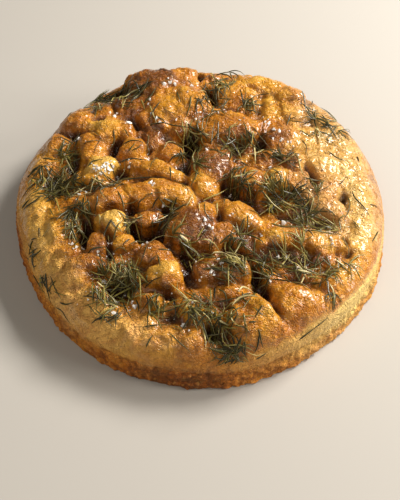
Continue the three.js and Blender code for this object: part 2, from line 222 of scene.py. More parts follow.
def fine(x, y, h):
    """Blisters and wrinkles of the skin."""
    fold = 1 - np.abs(N4(x / 5.6 + 0.6 * N1(x / 9, y / 9), y / 5.6, h / 8)) * 2.6
    pleat = 1 - np.abs(N2(x / 3.0 + 0.8 * N3(x / 6, y / 6), y / 3.0, h / 5 + 8)) * 2.6
    d = cells(5, x, y, 3.6)
    turn = 1.2 * N1(x / 38, y / 38, 4.4) + 0.7                   # which way the skin is drawn
    c, s = np.cos(turn), np.sin(turn)
    a, b = x * c + y * s + 1.6 * N3(x / 8, y / 8, 1.2), -x * s + y * c + 1.6 * N4(x / 8, y / 8, 3.1)
    drawn = 1 - np.abs(N2(a / 2.6, b / 9.0, h / 7 + 3)) * 2.4
    # long folds that run round the rim
    around, out = np.arctan2(y, x), np.hypot(x, y)
    long = 1 - np.abs(N4(around * 6.4 + 0.6 * N1(x / 12, y / 12, 6.6), out / 6.0 + 0.9 * N2(x / 16, y / 16, 2.5))) * 2.4
    long = np.clip(long - 0.3, 0, 1) ** 1.3 * smoothstep(out, 92, 108) * smoothstep(math.pi - np.abs(around), 0.0, 0.15)
    return (0.82 * N3(x / 6.6, y / 6.6, h / 7) + 0.34 * N2(x / 3.1, y / 3.1, h / 4) - 0.85 * long
            - 0.95 * np.clip(fold - 0.35, 0, 1) ** 1.5 - 0.30 * np.clip(pleat - 0.35, 0, 1) ** 1.5
            - 1.10 * np.clip(drawn - 0.3, 0, 1) ** 1.3
            + 0.26 * np.sqrt(np.maximum(1 - d * d, 0)) * (d < 1))


def side_radius(z):
    """Share of the outline at height z below the shoulder."""
    return 1 - LEAN / RAD * np.clip(z / FOOT, 0, 1) ** 1.2


def squareness(t):
    """How square the shoulder is at azimuth t: round nearly all the way, tighter at the front right."""
    d = np.degrees(t) + 42
    return 2.0 + 1.3 * np.exp(-(d / 24.0) ** 2)


# ============================================================================
# The crust on a square grid, and what the colours need from it
# ============================================================================
CELL, HALF = 0.6, 153.0
axis = np.arange(-HALF, HALF + CELL / 2, CELL)
GX, GY = np.meshgrid(axis, axis, indexing="ij")
GH = crust(GX, GY)
GH = GH + fine(GX, GY, GH)
FX = np.fft.fftfreq(len(axis), CELL)[:, None]
FY = np.fft.rfftfreq(len(axis), CELL)[None, :]


def blur(a, sigma):
    return np.fft.irfft2(np.fft.rfft2(a) * np.exp(-2 * (math.pi * sigma) ** 2 * (FX ** 2 + FY ** 2)), a.shape)


def at(grid, x, y):
    """Bilinear lookup."""
    u, v = np.clip((x + HALF) / CELL, 0, len(axis) - 1.001), np.clip((y + HALF) / CELL, 0, len(axis) - 1.001)
    i, j = u.astype(int), v.astype(int)
    u, v = u - i, v - j
    return (grid[i, j] * (1 - u) * (1 - v) + grid[i + 1, j] * u * (1 - v)
            + grid[i, j + 1] * (1 - u) * v + grid[i + 1, j + 1] * u * v)


H2, H4, H9, H20 = blur(GH, 1.6), blur(GH, 4.0), blur(GH, 9.0), blur(GH, 20.0)
CREASE = smoothstep(H4 - H2, 0.15, 2.2)                     # narrow grooves
HOLLOW = smoothstep(H9 - blur(GH, 2.4), 1.2, 6.5)           # finger-wide hollows
CROWN = smoothstep(H2 - H9, 0.5, 6.0)                       # tops of bubbles
SLOPEX, SLOPEY = np.gradient(blur(GH, 2.6), CELL)

WX, WY = warped(GX, GY)
weight, brown = np.full(GX.shape, 0.06), np.full(GX.shape, 0.06 * 0.5)
for f in BUBBLES:
    w = np.exp(-1.5 * reach(WX, WY, f, 1.1)) * (1 + max(f[5] - 44, 0) / 12)
    w = w * w
    weight, brown = weight + w, brown + w * f[6]
BROWN = brown / weight


# ============================================================================
# The loaf
# ============================================================================
def loaf_rings():
    r1 = RAD - LEAN - SHOULDER
    n = int(r1 / 0.95)
    rings = [(0.0, "top", 0.0, 1)]
    rings += [(r1 * i / n, "top", 0.0, max(6, int(round(2 * math.pi * r1 * i / n / 0.98)))) for i in range(1, n + 1)]
    rings += [(r1 + SHOULDER * math.sin(math.pi / 2 * k / 36), "top", 0.0, 860) for k in range(1, 37)]
    rings += [(RAD * float(side_radius(z)), "wall", z, 860) for z in np.linspace(FOOT, HEEL_UP, 14)[1:]]
    for k in range(1, 7):
        a = math.pi / 2 * k / 6
        rings.append((RAD - HEEL_IN * (1 - math.cos(a)), "wall", HEEL_UP * (1 - math.sin(a)), 860))
    rings += [(float(r), "base", 0.0, c) for r, c in ((128, 400), (110, 200), (70, 60), (20, 12))]
    rings.append((0.0, "base", 0.0, 1))
    return rings


def zip_rings(counts, angles):
    faces, start = [], np.concatenate([[0], np.cumsum(counts)])
    for i in range(len(counts) - 1):
        a0, na, b0, nb = int(start[i]), counts[i], int(start[i + 1]), counts[i + 1]
        if na == 1:
            faces += [(a0, b0 + j, b0 + (j + 1) % nb) for j in range(nb)]
            continue
        if nb == 1:
            faces += [(b0, a0 + (j + 1) % na, a0 + j) for j in range(na)]
            continue
        ta, tb = angles[a0:a0 + na].tolist(), angles[b0:b0 + nb].tolist()
        ta, tb = ta + [ta[0] + 2 * math.pi, 99.0], tb + [tb[0] + 2 * math.pi, 99.0]
        ia = ib = 0
        while ia < na or ib < nb:
            if ib < nb and (ia >= na or tb[ib + 1] <= ta[ia + 1]):
                faces.append((a0 + ia % na, b0 + ib % nb, b0 + (ib + 1) % nb))
                ib += 1
            else:
                faces.append((a0 + ia % na, b0 + ib % nb, a0 + (ia + 1) % na))
                ia += 1
    return faces


rad, ang, kind, zz, counts = [], [], [], [], []
for i, (r, k, z, c) in enumerate(loaf_rings()):
    t = np.arange(c) / c * 2 * math.pi + 0.5 * (i % 2) * 2 * math.pi / c
    t = np.sort((t + math.pi) % (2 * math.pi) - math.pi)
    rad.append(np.full(c, r)); ang.append(t); counts.append(c)
    zz.append(np.full(c, z)); kind.append(np.full(c, {"top": 0, "wall": 1, "base": 2}[k]))
rad, ang, zz, kind = map(np.concatenate, (rad, ang, zz, kind))
edge = outline(ang)
x, y = rad * edge / RAD * np.cos(ang), rad * edge / RAD * np.sin(ang)
top = kind == 0
h = at(GH, x, y)
over = np.clip((rad - (RAD - LEAN - SHOULDER)) / SHOULDER, 0, 1)
p = squareness(ang)
z = np.where(top, FOOT + (h - FOOT) * np.maximum(1 - over ** p, 0) ** (1 / p), zz)

# along the front right the top skin ends in a small lip, with the pale side below it
LIP = np.exp(-((np.degrees(ang) + 36) / 32.0) ** 2)
o = over + 0.03 * N1(ang * RAD / 11, 0.3, 5.1) + 0.02 * N2(ang * RAD / 4, 0.7, 5.1)
z = z + top * LIP * (0.8 * np.exp(-((o - 0.83) / 0.05) ** 2) - 1.5 * np.exp(-((o - 0.92) / 0.035) ** 2))

# bubbles bulge over the hollows beside them
puff = 1.5 * smoothstep(at(H2 - H9, x, y), -2.0, 3.0) * (1 - smoothstep(over, 0.2, 0.7)) * top
sx, sy = at(SLOPEX, x, y), at(SLOPEY, x, y)
steep = np.hypot(sx, sy)
k = puff * np.minimum(steep, 1.6) / np.maximum(steep, 1e-6)
x, y = x - sx * k, y - sy * k

# the side wall: rough, with shallow dents and small raised crumbs, rougher at the front and smoother at the very foot
wall = (kind == 1) | (over > 0.55)
u = ang * RAD
amount = np.where(kind == 1, 1.0, smoothstep(over, 0.5, 1.0)) * np.where(zz + top > 1.0, 1.0, 0.25)
crumbs = cells(9, u + 900, z * 1.15, 4.6)
rough = (1.0 * N1(u / 23, z / 14, 2.2) + 0.95 * N2(u / 7.5, z / 6, 4.1) + 0.80 * N3(u / 3.3, z / 2.9, 7.7)
         + 0.60 * np.sqrt(np.maximum(1 - crumbs * crumbs, 0)) * (crumbs < 1)
         - 0.5 * np.clip(1 - np.abs(N4(u / 9.0, z / 4.2, 1.9)) * 3.2, 0, 1) ** 2)
front = np.exp(-((np.degrees(ang) + 78) / 52.0) ** 2)
dr = amount * rough * (0.75 + 0.75 * front) * (kind != 2)
x, y = x + dr * np.cos(ang), y + dr * np.sin(ang)
z = np.where(kind == 1, np.maximum(z, 0), z)

CENTRE = np.array([(x.max() + x.min()) / 2, (y.max() + y.min()) / 2, 0.0])
VERTS = (np.stack([x, y, z], 1) - CENTRE) / 1000
FACES = zip_rings(counts, ang)


def mesh_object(name, verts, faces, material, smooth=True):
    me = bpy.data.meshes.new(name)
    me.from_pydata([tuple(v) for v in np.asarray(verts).tolist()], [], faces)
    me.validate()
    me.update()
    if smooth:
        me.shade_smooth()
    me.materials.append(material)
    ob = bpy.data.objects.new(name, me)
    bpy.context.scene.collection.objects.link(ob)
    return ob


def attribute(ob, name, values):
    a = ob.data.attributes.new(name, "FLOAT", "POINT")
    a.data.foreach_set("value", np.asarray(values, np.float32))


# ============================================================================
# Materials
# ============================================================================
def srgb(r, g, b):
    return tuple(((c / 255 / 12.92) if c / 255 <= 0.04045 else ((c / 255 + 0.055) / 1.055) ** 2.4) for c in (r, g, b)) + (1.0,)


class Nodes:
    """A short way to write a node tree."""

    def __init__(self, name):
        self.material = bpy.data.materials.new(name)
        self.material.use_nodes = True
        self.tree = self.material.node_tree
        self.shader = self.tree.nodes["Principled BSDF"]
        self.place = self.make("ShaderNodeTexCoord").outputs["Object"]

    def make(self, kind, props=None, **values):
        n = self.tree.nodes.new(kind)
        for k, v in (props or {}).items():
            setattr(n, k, v)
        for k, v in values.items():
            self.put(n.inputs[k.replace("_", " ")], v)
        return n

    def put(self, socket, v):
        if isinstance(v, bpy.types.NodeSocket):
            self.tree.links.new(v, socket)
        else:
            socket.default_value = v

    def noise(self, scale, detail=3.0, rough=0.55, distortion=0.0, vector=None):
        n = self.make("ShaderNodeTexNoise", Vector=self.place if vector is None else vector, Scale=scale, Detail=detail,
                      Roughness=rough, Distortion=distortion)
        return n.outputs["Fac"]

    def voronoi(self, scale, feature="F1", random=1.0, vector=None):
        n = self.make("ShaderNodeTexVoronoi", {"feature": feature}, Vector=self.place if vector is None else vector,
                      Scale=scale, Randomness=random)
        return n.outputs["Distance"]

    def wobbled(self, scale, amount, stretch=(1, 1, 1), turn=0.0):
        """The place, pushed about by noise, turned and stretched."""
        n = self.make("ShaderNodeTexNoise", Vector=self.place, Scale=scale, Detail=2.0)
        v = self.make("ShaderNodeVectorMath", {"operation": "MULTIPLY_ADD"})
        self.put(v.inputs[0], n.outputs["Color"])
        v.inputs[1].default_value = (amount,) * 3
        self.put(v.inputs[2], self.place)
        t = self.make("ShaderNodeMapping", Vector=v.outputs[0])
        t.inputs["Rotation"].default_value = (0, 0, turn)
        t.inputs["Scale"].default_value = stretch
        return t.outputs[0]

    def math(self, op, a, b=0.0, c=0.0, clamp=False):
        n = self.make("ShaderNodeMath", {"operation": op, "use_clamp": clamp})
        for s, v in zip(n.inputs, (a, b, c)):
            self.put(s, v)
        return n.outputs[0]

    def step(self, v, lo, hi, out_lo=0.0, out_hi=1.0):
        n = self.make("ShaderNodeMapRange", {"interpolation_type": "SMOOTHSTEP"}, Value=v)
        for k, val in zip(("From Min", "From Max", "To Min", "To Max"), (lo, hi, out_lo, out_hi)):
            n.inputs[k].default_value = val
        return n.outputs["Result"]

    def mix(self, fac, a, b, blend="MIX"):
        n = self.make("ShaderNodeMix", {"data_type": "RGBA", "blend_type": blend, "clamp_result": False})
        self.put(n.inputs["Factor"], fac)
        self.put(n.inputs[6], a)
        self.put(n.inputs[7], b)
        return n.outputs[2]

    def ramp(self, v, stops):
        n = self.make("ShaderNodeValToRGB", Fac=v)
        e = n.color_ramp.elements
        while len(e) < len(stops):
            e.new(0.5)
        for el, (pos, col) in zip(e, stops):
            el.position, el.color = pos, col
        return n.outputs["Color"]

    def attr(self, name):
        return self.make("ShaderNodeAttribute", {"attribute_name": name}).outputs["Fac"]

    def bump(self, height, distance, strength=1.0, normal=None):
        n = self.make("ShaderNodeBump", Height=height, Distance=distance, Strength=strength)
        if normal is not None:
            self.put(n.inputs["Normal"], normal)
        return n.outputs["Normal"]

    def finish(self, **values):
        for k, v in values.items():
            self.put(self.shader.inputs[k.replace("_", " ")], v)
        return self.material


def crust_material(name, coat, gloss):
    """coat is the oil on it, and gloss how far its own roughness goes: the top is oiled, the side is dry."""
    m = Nodes(name)
    big, mid, small = m.noise(26, 3), m.noise(95, 4, 0.6, 0.4), m.noise(340, 4, 0.6, 0.3)
    tiny = m.noise(1050, 3, 0.6)
    brown, hollow, crease, crown = m.attr("brown"), m.attr("hollow"), m.attr("crease"), m.attr("crown")
    pale, wall, burnt_and_front_shade = m.attr("pale"), m.attr("wall"), m.attr("burnt_and_front_shade")

    glare = m.attr("wrinkles_and_glare")

    # how far each place is baked, with painted shade added in the hollows, in the creases and towards the front of the
    # foot
    tone = m.math("ADD", m.math("MULTIPLY", brown, 0.80), 0.115)
    tone = m.math("ADD", tone, m.math("MULTIPLY", m.math("SUBTRACT", big, 0.5), 0.60))
    tone = m.math("ADD", tone, m.math("MULTIPLY", m.math("SUBTRACT", mid, 0.5), 0.74))
    tone = m.math("ADD", tone, m.math("MULTIPLY", m.math("SUBTRACT", small, 0.5), m.math("ADD", 0.14, m.math("MULTIPLY", wall, 1.0))))
    # painted shade: the tone darkens in the hollows and creases
    tone = m.math("ADD", tone, m.math("MULTIPLY", hollow, 0.32))
    tone = m.math("ADD", tone, m.math("MULTIPLY", crease, 0.16))
    tone = m.math("SUBTRACT", tone, m.math("MULTIPLY", pale, 0.20))
    # a darker baked foot, with painted shade towards the front
    tone = m.math("ADD", tone, m.math("MULTIPLY", burnt_and_front_shade, 0.24), clamp=True)
    colour = m.ramp(tone, [(0.0, srgb(250, 200, 100)), (0.18, srgb(238, 184, 74)), (0.38, srgb(222, 154, 36)),
                           (0.58, srgb(194, 119, 14)), (0.78, srgb(134, 74, 8)), (1.0, srgb(50, 24, 3))])
    colour = m.mix(m.math("MULTIPLY", pale, m.step(m.noise(48, 3, 0.6, 0.8), 0.36, 0.60, 0.95, 0.50)), colour, srgb(255, 200, 100))
    # freckles of darker crust, and a few straw-coloured scuffs
    spots = m.step(m.voronoi(300), 0.10, 0.42, 1.0, 0.0)
    colour = m.mix(m.math("MULTIPLY", spots, m.step(mid, 0.45, 0.72, 0.0, 0.06)), colour, srgb(120, 60, 14))
    scuff = m.math("MULTIPLY", m.step(small, 0.60, 0.74), m.step(big, 0.45, 0.60, 0.0, 0.30))
    colour = m.mix(scuff, colour, srgb(228, 180, 92))
    patch = m.math("MULTIPLY", m.step(m.noise(70, 4, 0.62, 1.0), 0.48, 0.62, 0.0, 0.52), m.math("SUBTRACT", 1.0, hollow))
    colour = m.mix(m.math("MULTIPLY", patch, pale), colour, srgb(196, 108, 34))
    streak = m.math("ABSOLUTE", m.math("SUBTRACT", m.noise(46, 4, 0.6, 1.4, vector=m.wobbled(30, 0.03)), 0.5))
    colour = m.mix(m.math("MULTIPLY", m.step(streak, 0.0, 0.045, 0.36, 0.0), m.math("ADD", 0.10, pale)), colour, srgb(182, 98, 30))
    blush = m.step(m.noise(34, 3, 0.6, 0.6, vector=m.wobbled(50, 0.02)), 0.50, 0.68)
    colour = m.mix(m.math("MULTIPLY", m.math("MULTIPLY", blush, pale), 0.80), colour, srgb(255, 212, 150))
    colour = m.mix(m.math("MULTIPLY", pale, 0.32), colour, srgb(250, 184, 108))
    # the pale dry strip under the lip, brightened further as a painted highlight along the edge
    colour = m.mix(m.math("MULTIPLY", m.attr("lip"), 0.90), colour, srgb(252, 220, 136))
    # painted glare: the right plateau is painted paler, as a sheen
    colour = m.mix(m.math("MULTIPLY", glare, m.step(mid, 0.35, 0.62, 0.34, 0.16)), colour, srgb(252, 226, 176))
    # the side is a deeper brown
    colour = m.mix(m.math("MULTIPLY", wall, m.math("SUBTRACT", 0.85, m.math("MULTIPLY", pale, 0.70))), colour, srgb(236, 194, 120), "MULTIPLY")
    crumb = m.voronoi(210, vector=m.wobbled(160, 0.006))
    colour = m.mix(m.math("MULTIPLY", wall, m.step(crumb, 0.08, 0.34, 0.55, 0.0)), colour, srgb(226, 160, 80))
    colour = m.mix(m.math("MULTIPLY", wall, m.step(crumb, 0.50, 0.74, 0.0, 0.42)), colour, srgb(92, 46, 12))
    # painted shade in the hollows, over crust that the oil darkens there
    colour = m.mix(m.math("MULTIPLY", hollow, 0.86), colour, srgb(34, 16, 5))
    # painted shade in the narrow creases
    colour = m.mix(m.math("MULTIPLY", crease, 0.74), colour, srgb(66, 30, 6))

    # the skin is finely cracked and pleated
    crack = m.voronoi(250, "DISTANCE_TO_EDGE", vector=m.wobbled(300, 0.004))
    crack = m.step(crack, 0.0, 0.16)
    pleat = m.math("ABSOLUTE", m.math("SUBTRACT", m.noise(210, 2, 0.5, vector=m.wobbled(90, 0.012, (1, 2.8, 1), 0.7)), 0.5))
    pleat = m.step(pleat, 0.0, 0.13)
    skin = m.math("MULTIPLY", m.step(m.noise(60, 2), 0.38, 0.62), 1.0)
    colour = m.mix(m.math("MULTIPLY", m.math("SUBTRACT", 1.0, crack), m.math("MULTIPLY", skin, 0.05)), colour, srgb(96, 46, 8))
    colour = m.mix(m.math("MULTIPLY", m.math("SUBTRACT", 1.0, pleat), 0.14), colour, srgb(104, 50, 8))

    wrinkle = m.math("ABSOLUTE", m.math("SUBTRACT", m.noise(290, 1.6, 0.42, 1.3), 0.5))
    open_skin = m.math("SUBTRACT", 1.0, m.math("MAXIMUM", hollow, m.math("MULTIPLY", wall, 0.7)))
    # painted shade along the wrinkle grooves, and the skin between them painted lighter as a painted highlight
    colour = m.mix(m.math("MULTIPLY", open_skin, m.step(wrinkle, 0.0, 0.05, 0.20, 0.0)), colour, srgb(116, 58, 12))
    colour = m.mix(m.math("MULTIPLY", open_skin, m.step(wrinkle, 0.09, 0.22, 0.0, 0.22)), colour, srgb(240, 190, 108))

    rough = m.step(small, 0.30, 0.75, gloss, gloss + 0.16)
    rough = m.math("ADD", rough, m.math("MULTIPLY", wall, 0.22))
    rough = m.math("SUBTRACT", rough, m.math("MULTIPLY", hollow, 0.06), clamp=True)

    normal = m.bump(m.math("MULTIPLY", wrinkle, m.math("ADD", 0.75, m.math("MULTIPLY", glare, 0.7))), 0.0024, 0.8)
    normal = m.bump(pleat, 0.0007, 0.8, normal)
    normal = m.bump(m.math("MULTIPLY", m.step(streak, 0.0, 0.05), pale), 0.0004, 0.8, normal)
    normal = m.bump(m.math("MULTIPLY", crack, skin), 0.00015, 0.8, normal)
    normal = m.bump(small, 0.0006, 0.8, normal)
    normal = m.bump(tiny, 0.00012, 0.8, normal)
    return m.finish(Base_Color=colour, Roughness=rough, Normal=normal, Coat_Weight=coat, Coat_Roughness=0.16,
                    Coat_IOR=1.46, IOR=1.45, Specular_IOR_Level=0.5)


def rosemary_material():
    m = Nodes("rosemary_leaf")
    tone, under = m.attr("tone"), m.attr("under")
    grain = m.noise(500, 3, 0.6)
    streak = m.noise(160, 2)
    t = m.math("ADD", tone, m.math("MULTIPLY", m.math("SUBTRACT", grain, 0.5), 0.5))
    t = m.math("ADD", t, m.math("MULTIPLY", m.math("SUBTRACT", streak, 0.5), 0.3), clamp=True)
    colour = m.ramp(t, [(0.0, srgb(26, 23, 7)), (0.3, srgb(62, 57, 15)), (0.55, srgb(100, 90, 30)), (0.8, srgb(158, 142, 68)),
                        (1.0, srgb(208, 194, 140))])
    colour = m.mix(m.math("MULTIPLY", under, 0.7), colour, srgb(182, 172, 120))
    return m.finish(Base_Color=colour, Roughness=m.step(grain, 0.3, 0.7, 0.30, 0.50), Normal=m.bump(grain, 0.0003, 0.5),
                    Coat_Weight=0.18, Coat_Roughness=0.16, Specular_IOR_Level=0.35)


def stem_material():
    m = Nodes("rosemary_stem")
    grain = m.noise(420, 3, 0.6)
    colour = m.ramp(grain, [(0.3, srgb(58, 44, 22)), (0.55, srgb(96, 78, 42)), (0.75, srgb(134, 112, 68))])
    return m.finish(Base_Color=colour, Roughness=0.55, Normal=m.bump(grain, 0.0003, 0.6))


def salt_material():
    m = Nodes("salt")
    grain = m.noise(900, 3, 0.6)
    colour = m.ramp(grain, [(0.3, srgb(240, 236, 228)), (0.7, srgb(255, 254, 251))])
    return m.finish(Base_Color=colour, Roughness=m.step(grain, 0.3, 0.7, 0.18, 0.42), Normal=m.bump(grain, 0.0002, 0.6),
                    IOR=1.54, Transmission_Weight=0.08)


# ============================================================================
# Build the loaf
# ============================================================================
bread = mesh_object("focaccia_loaf", VERTS, FACES, crust_material("crust_top", 0.58, 0.26))
bread.data.materials.append(crust_material("crust_side", 0.04, 0.56))
azimuth = np.degrees(ang)
rim_zone = smoothstep(rad + 5 * N1(x / 14, y / 14, 7.2), RAD - 30, RAD - 15)
turned = np.mod(azimuth + 360, 360)
PALE_LEFT = 0.26 * np.exp(-((turned - 192) / 26.0) ** 2) + 1.0 * np.exp(-((turned - 236) / 24.0) ** 2)   # the paler left and front-left rim
# the front-right band is paler dry crust, and partly painted light where the side faces the lamps
PALE_RIGHT = np.exp(-((azimuth + 42) / 30.0) ** 2)                               # the pale band low on the front right
wobble = 3.0 * N1(u / 16, z / 16, 3.3) + 1.6 * N2(u / 6, z / 6, 8.8)
low = smoothstep(z + wobble, 26.0, 8.0) * (kind != 2) + (kind == 2)
pale = rim_zone * (PALE_LEFT * (1 - 0.75 * low) + PALE_RIGHT * smoothstep(over + wobble / 90, 0.86, 0.93))
# the foot is baked darker all round; the extra darkening towards the front is painted shade
burnt_and_front_shade = low * (0.32 + 0.68 * np.exp(-((azimuth + 100) / 34.0) ** 2)) * (1 - PALE_RIGHT * 0.85)
browned = 0.12 * LIP * smoothstep(over, 0.30, 0.60) * (1 - smoothstep(over, 0.82, 0.90)) * top
attribute(bread, "brown", at(BROWN, x, y) + browned)
# the strip under the lip: pale dry crust with a painted highlight
attribute(bread, "lip", LIP ** 1.5 * smoothstep(over + wobble / 90, 0.88, 0.93) * smoothstep(z + wobble, 7.0, 15.0))
attribute(bread, "hollow", at(HOLLOW, x, y) * (1 - over) * top)
attribute(bread, "crease", at(CREASE, x, y) * (1 - smoothstep(over, 0.5, 0.9)) * top)
attribute(bread, "crown", at(CROWN, x, y) * top)
attribute(bread, "pale", np.clip(pale, 0, 1))
attribute(bread, "wall", np.clip(amount * (kind != 2) + (kind == 2), 0, 1))
attribute(bread, "burnt_and_front_shade", np.clip(burnt_and_front_shade, 0, 1))
# the right plateau: stronger wrinkle bumps there, and a painted glare colour
attribute(bread, "wrinkles_and_glare", smoothstep(x, 52, 88) * smoothstep(y, -62, -30) * top)
dry = (over + wobble / 60 - 0.04 * LIP > 0.86) | (kind > 0) | (rim_zone * PALE_LEFT + wobble / 12 > 0.55)
bread.data.polygons.foreach_set("material_index", dry[np.array(FACES)].all(axis=1).astype(np.int32))
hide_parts("bread")
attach(bread, "root")
TREE = BVHTree.FromPolygons([tuple(v) for v in VERTS.tolist()], FACES)

# ============================================================================
# The camera: 57.6 mm lens, 53 degrees down, turned 2.9 degrees
# ============================================================================
PITCH, ROLL, FOCAL = math.radians(53.0), math.radians(2.89), 800.0
forward = np.array([0, math.cos(PITCH), -math.sin(PITCH)])
upward = np.array([0, math.sin(PITCH), math.cos(PITCH)])
right = np.array([1.0, 0, 0])
cr, sr = math.cos(ROLL), math.sin(ROLL)
right, upward = cr * right + sr * upward, -sr * right + cr * upward
EYE = (np.array([-0.05, -388.75, 480.2]) - CENTRE) / 1000

camera_data = bpy.data.cameras.new("camera")
camera_data.lens, camera_data.sensor_width = FOCAL / 500 * 36, 36
camera = bpy.data.objects.new("camera", camera_data)
bpy.context.scene.collection.objects.link(camera)
m = Matrix.Identity(4)
for i in range(3):
    m[i][0], m[i][1], m[i][2], m[i][3] = right[i], upward[i], -forward[i], EYE[i]
camera.matrix_world = m
bpy.context.scene.camera = camera


def sight(u, v):
    """Direction of the camera's line of sight through a point of the 400 x 500 frame."""
    return forward + right * (u - 200) / FOCAL - upward * (v - 250) / FOCAL


def spot(u, v):
    """Where that line of sight meets the loaf, or the height of the rim if it passes beside it."""
    d = sight(u, v)
    hit = TREE.ray_cast(Vector(EYE), Vector(d))[0]
    if hit is not None and hit.z > 0.006:
        return np.array(hit)
    return EYE + d * (0.040 - EYE[2]) / d[2]


def height(px, py):
    hit = TREE.ray_cast(Vector((px, py, 0.2)), Vector((0, 0, -1)))[0]
    return hit.z if hit is not None else 0.0


# ============================================================================
# Rosemary
# ============================================================================
rng = np.random.RandomState(20)
SECTION = [(-1.0, -0.22), (-0.55, 0.64), (0.0, 0.40), (0.55, 0.64), (1.0, -0.22), (0.0, -0.72)]
UNDER = [0.5, 0, 0, 0, 0.5, 1]
leaf_v, leaf_f, leaf_tone, leaf_under = [], [], [], []
stem_v, stem_f = [], []


def spline(points, n):
    """A smooth line through 2 to 7 points, as n + 1 points evenly along it."""
    p = np.asarray(points, float)
    if len(p) == 2:
        p = np.stack([p[0], (p[0] + p[1]) / 2, p[1]])
    e = np.concatenate([[2 * p[0] - p[1]], p, [2 * p[-1] - p[-2]]])
    out = []
    for i in range(len(p) - 1):
        a, b, c, d = e[i:i + 4]
        for t in np.linspace(0, 1, 16, endpoint=False):
            out.append(0.5 * (2 * b + (c - a) * t + (2 * a - 5 * b + 4 * c - d) * t * t + (3 * b - a - 3 * c + d) * t ** 3))
    out = np.array(out + [p[-1]])
    s = np.concatenate([[0], np.cumsum(np.linalg.norm(np.diff(out, axis=0), axis=1))])
    q = np.linspace(0, s[-1], n + 1)
    return np.stack([np.interp(q, s, out[:, i]) for i in range(out.shape[1])], 1)


def rest_on_crust(line, stiff, clear):
    """Heights for a line that lies on the crust: it spans dips narrower than it is long and never sinks in."""
    z = np.array([height(a, b) for a, b in line[:, :2]])
    s = np.linspace(0, 1, len(z))
    hull = z.copy()
    for i in range(len(z)):
        for j in range(i + 1, len(z)):
            t = (s - s[i]) / (s[j] - s[i])
            span = (t >= 0) & (t <= 1)
            hull[span] = np.maximum(hull[span], (z[i] + (z[j] - z[i]) * t)[span])
    bed = z + (hull - z) * stiff
    for _ in range(2):
        bed[1:-1] = np.maximum(bed[1:-1], (bed[:-2] + 2 * bed[1:-1] + bed[2:]) / 4)
    out = line.copy()
    out[:, 2] = bed + clear
    return out


def leaf(line, width, thick, roll, tone, tip=1.0):
    """One needle-like leaf along a line: rolled edges, a groove down its face, pale below."""
    n = len(line)
    t = np.linspace(0, 1, n)
    w = width / 2 * np.minimum(1, 0.45 + 4.0 * t) * np.clip(1 - t ** (3.2 * tip), 0.10, 1) ** 0.8
    d = np.gradient(line, axis=0)
    d /= np.linalg.norm(d, axis=1)[:, None] + 1e-12
    side = np.cross(d, [0, 0, 1.0])
    side /= np.linalg.norm(side, axis=1)[:, None] + 1e-12
    up = np.cross(side, d)
    r = roll + 0.5 * (t - 0.5) * math.copysign(1, roll)
    a = side * np.cos(r)[:, None] + up * np.sin(r)[:, None]
    b = -side * np.sin(r)[:, None] + up * np.cos(r)[:, None]
    start = sum(len(v) for v in leaf_v)
    k = len(SECTION)
    for i in range(n):
        ring = [line[i] + a[i] * w[i] * su + b[i] * (thick / 2) * (w[i] / (width / 2)) * sv for su, sv in SECTION]
        leaf_v.append(np.array(ring))
        leaf_tone.extend([tone] * k)
        leaf_under.extend(UNDER)
    for i in range(n - 1):
        for j in range(k):
            p0, p1 = start + i * k + j, start + i * k + (j + 1) % k
            q0, q1 = p0 + k, p1 + k
            leaf_f.append((p0, p1, q1))
            leaf_f.append((p0, q1, q0))
    leaf_v.append(np.array([line[0] - d[0] * 0.0002, line[-1] + d[-1] * 0.0005]))
    leaf_tone.extend([tone, tone])
    leaf_under.extend([0.3, 0.3])
    a0, a1 = start + n * k, start + n * k + 1
    for j in range(k):
        leaf_f.append((a0, start + (j + 1) % k, start + j))
        leaf_f.append((a1, start + (n - 1) * k + j, start + (n - 1) * k + (j + 1) % k))


def lay_leaf(points, lift=0.0, width=None, tone=None, stiff=None, roll=None):
    """A leaf whose plan follows points (metres), laid on the crust, lifted by lift millimetres or by (start, end)."""
    plan = np.array(points, float)[:, :2]
    r = np.hypot(plan[:, 0], plan[:, 1])                # none reaches past the rim
    far = 0.972 * outline(np.arctan2(plan[:, 1], plan[:, 0])) / 1000
    plan *= np.minimum(1, far / r)[:, None]
    longest = np.linalg.norm(np.diff(plan, axis=0), axis=1).sum() * 1.12
    for _ in range(3):                       # where the crust falls away the plan is shortened
        line = spline(plan, 6)
        z = np.array([height(a, b) for a, b in line])
        real = np.hypot(np.linalg.norm(np.diff(line, axis=0), axis=1), np.diff(z)).sum()
        if real <= longest * 1.1 or abs(z[-1] - z[0]) < 0.35 * real:
            break
        plan = plan.mean(0) + (plan - plan.mean(0)) * (longest / real)
    line = np.concatenate([line, np.zeros((len(line), 1))], 1)
    width = rng.uniform(0.85, 1.40) if width is None else width
    line = rest_on_crust(line, rng.uniform(0.75, 1.0) if stiff is None else stiff, width * 0.00035)
    lo, hi = lift if isinstance(lift, (tuple, list)) else (lift, lift)
    line[:, 2] += np.linspace(lo, hi, len(line)) / 1000
    leaf(line, width / 1000, width * rng.uniform(0.42, 0.62) / 1000, rng.normal(0, 0.7) if roll is None else roll,
         float(np.clip(rng.normal(0.38, 0.2), 0, 1)) if tone is None else tone)


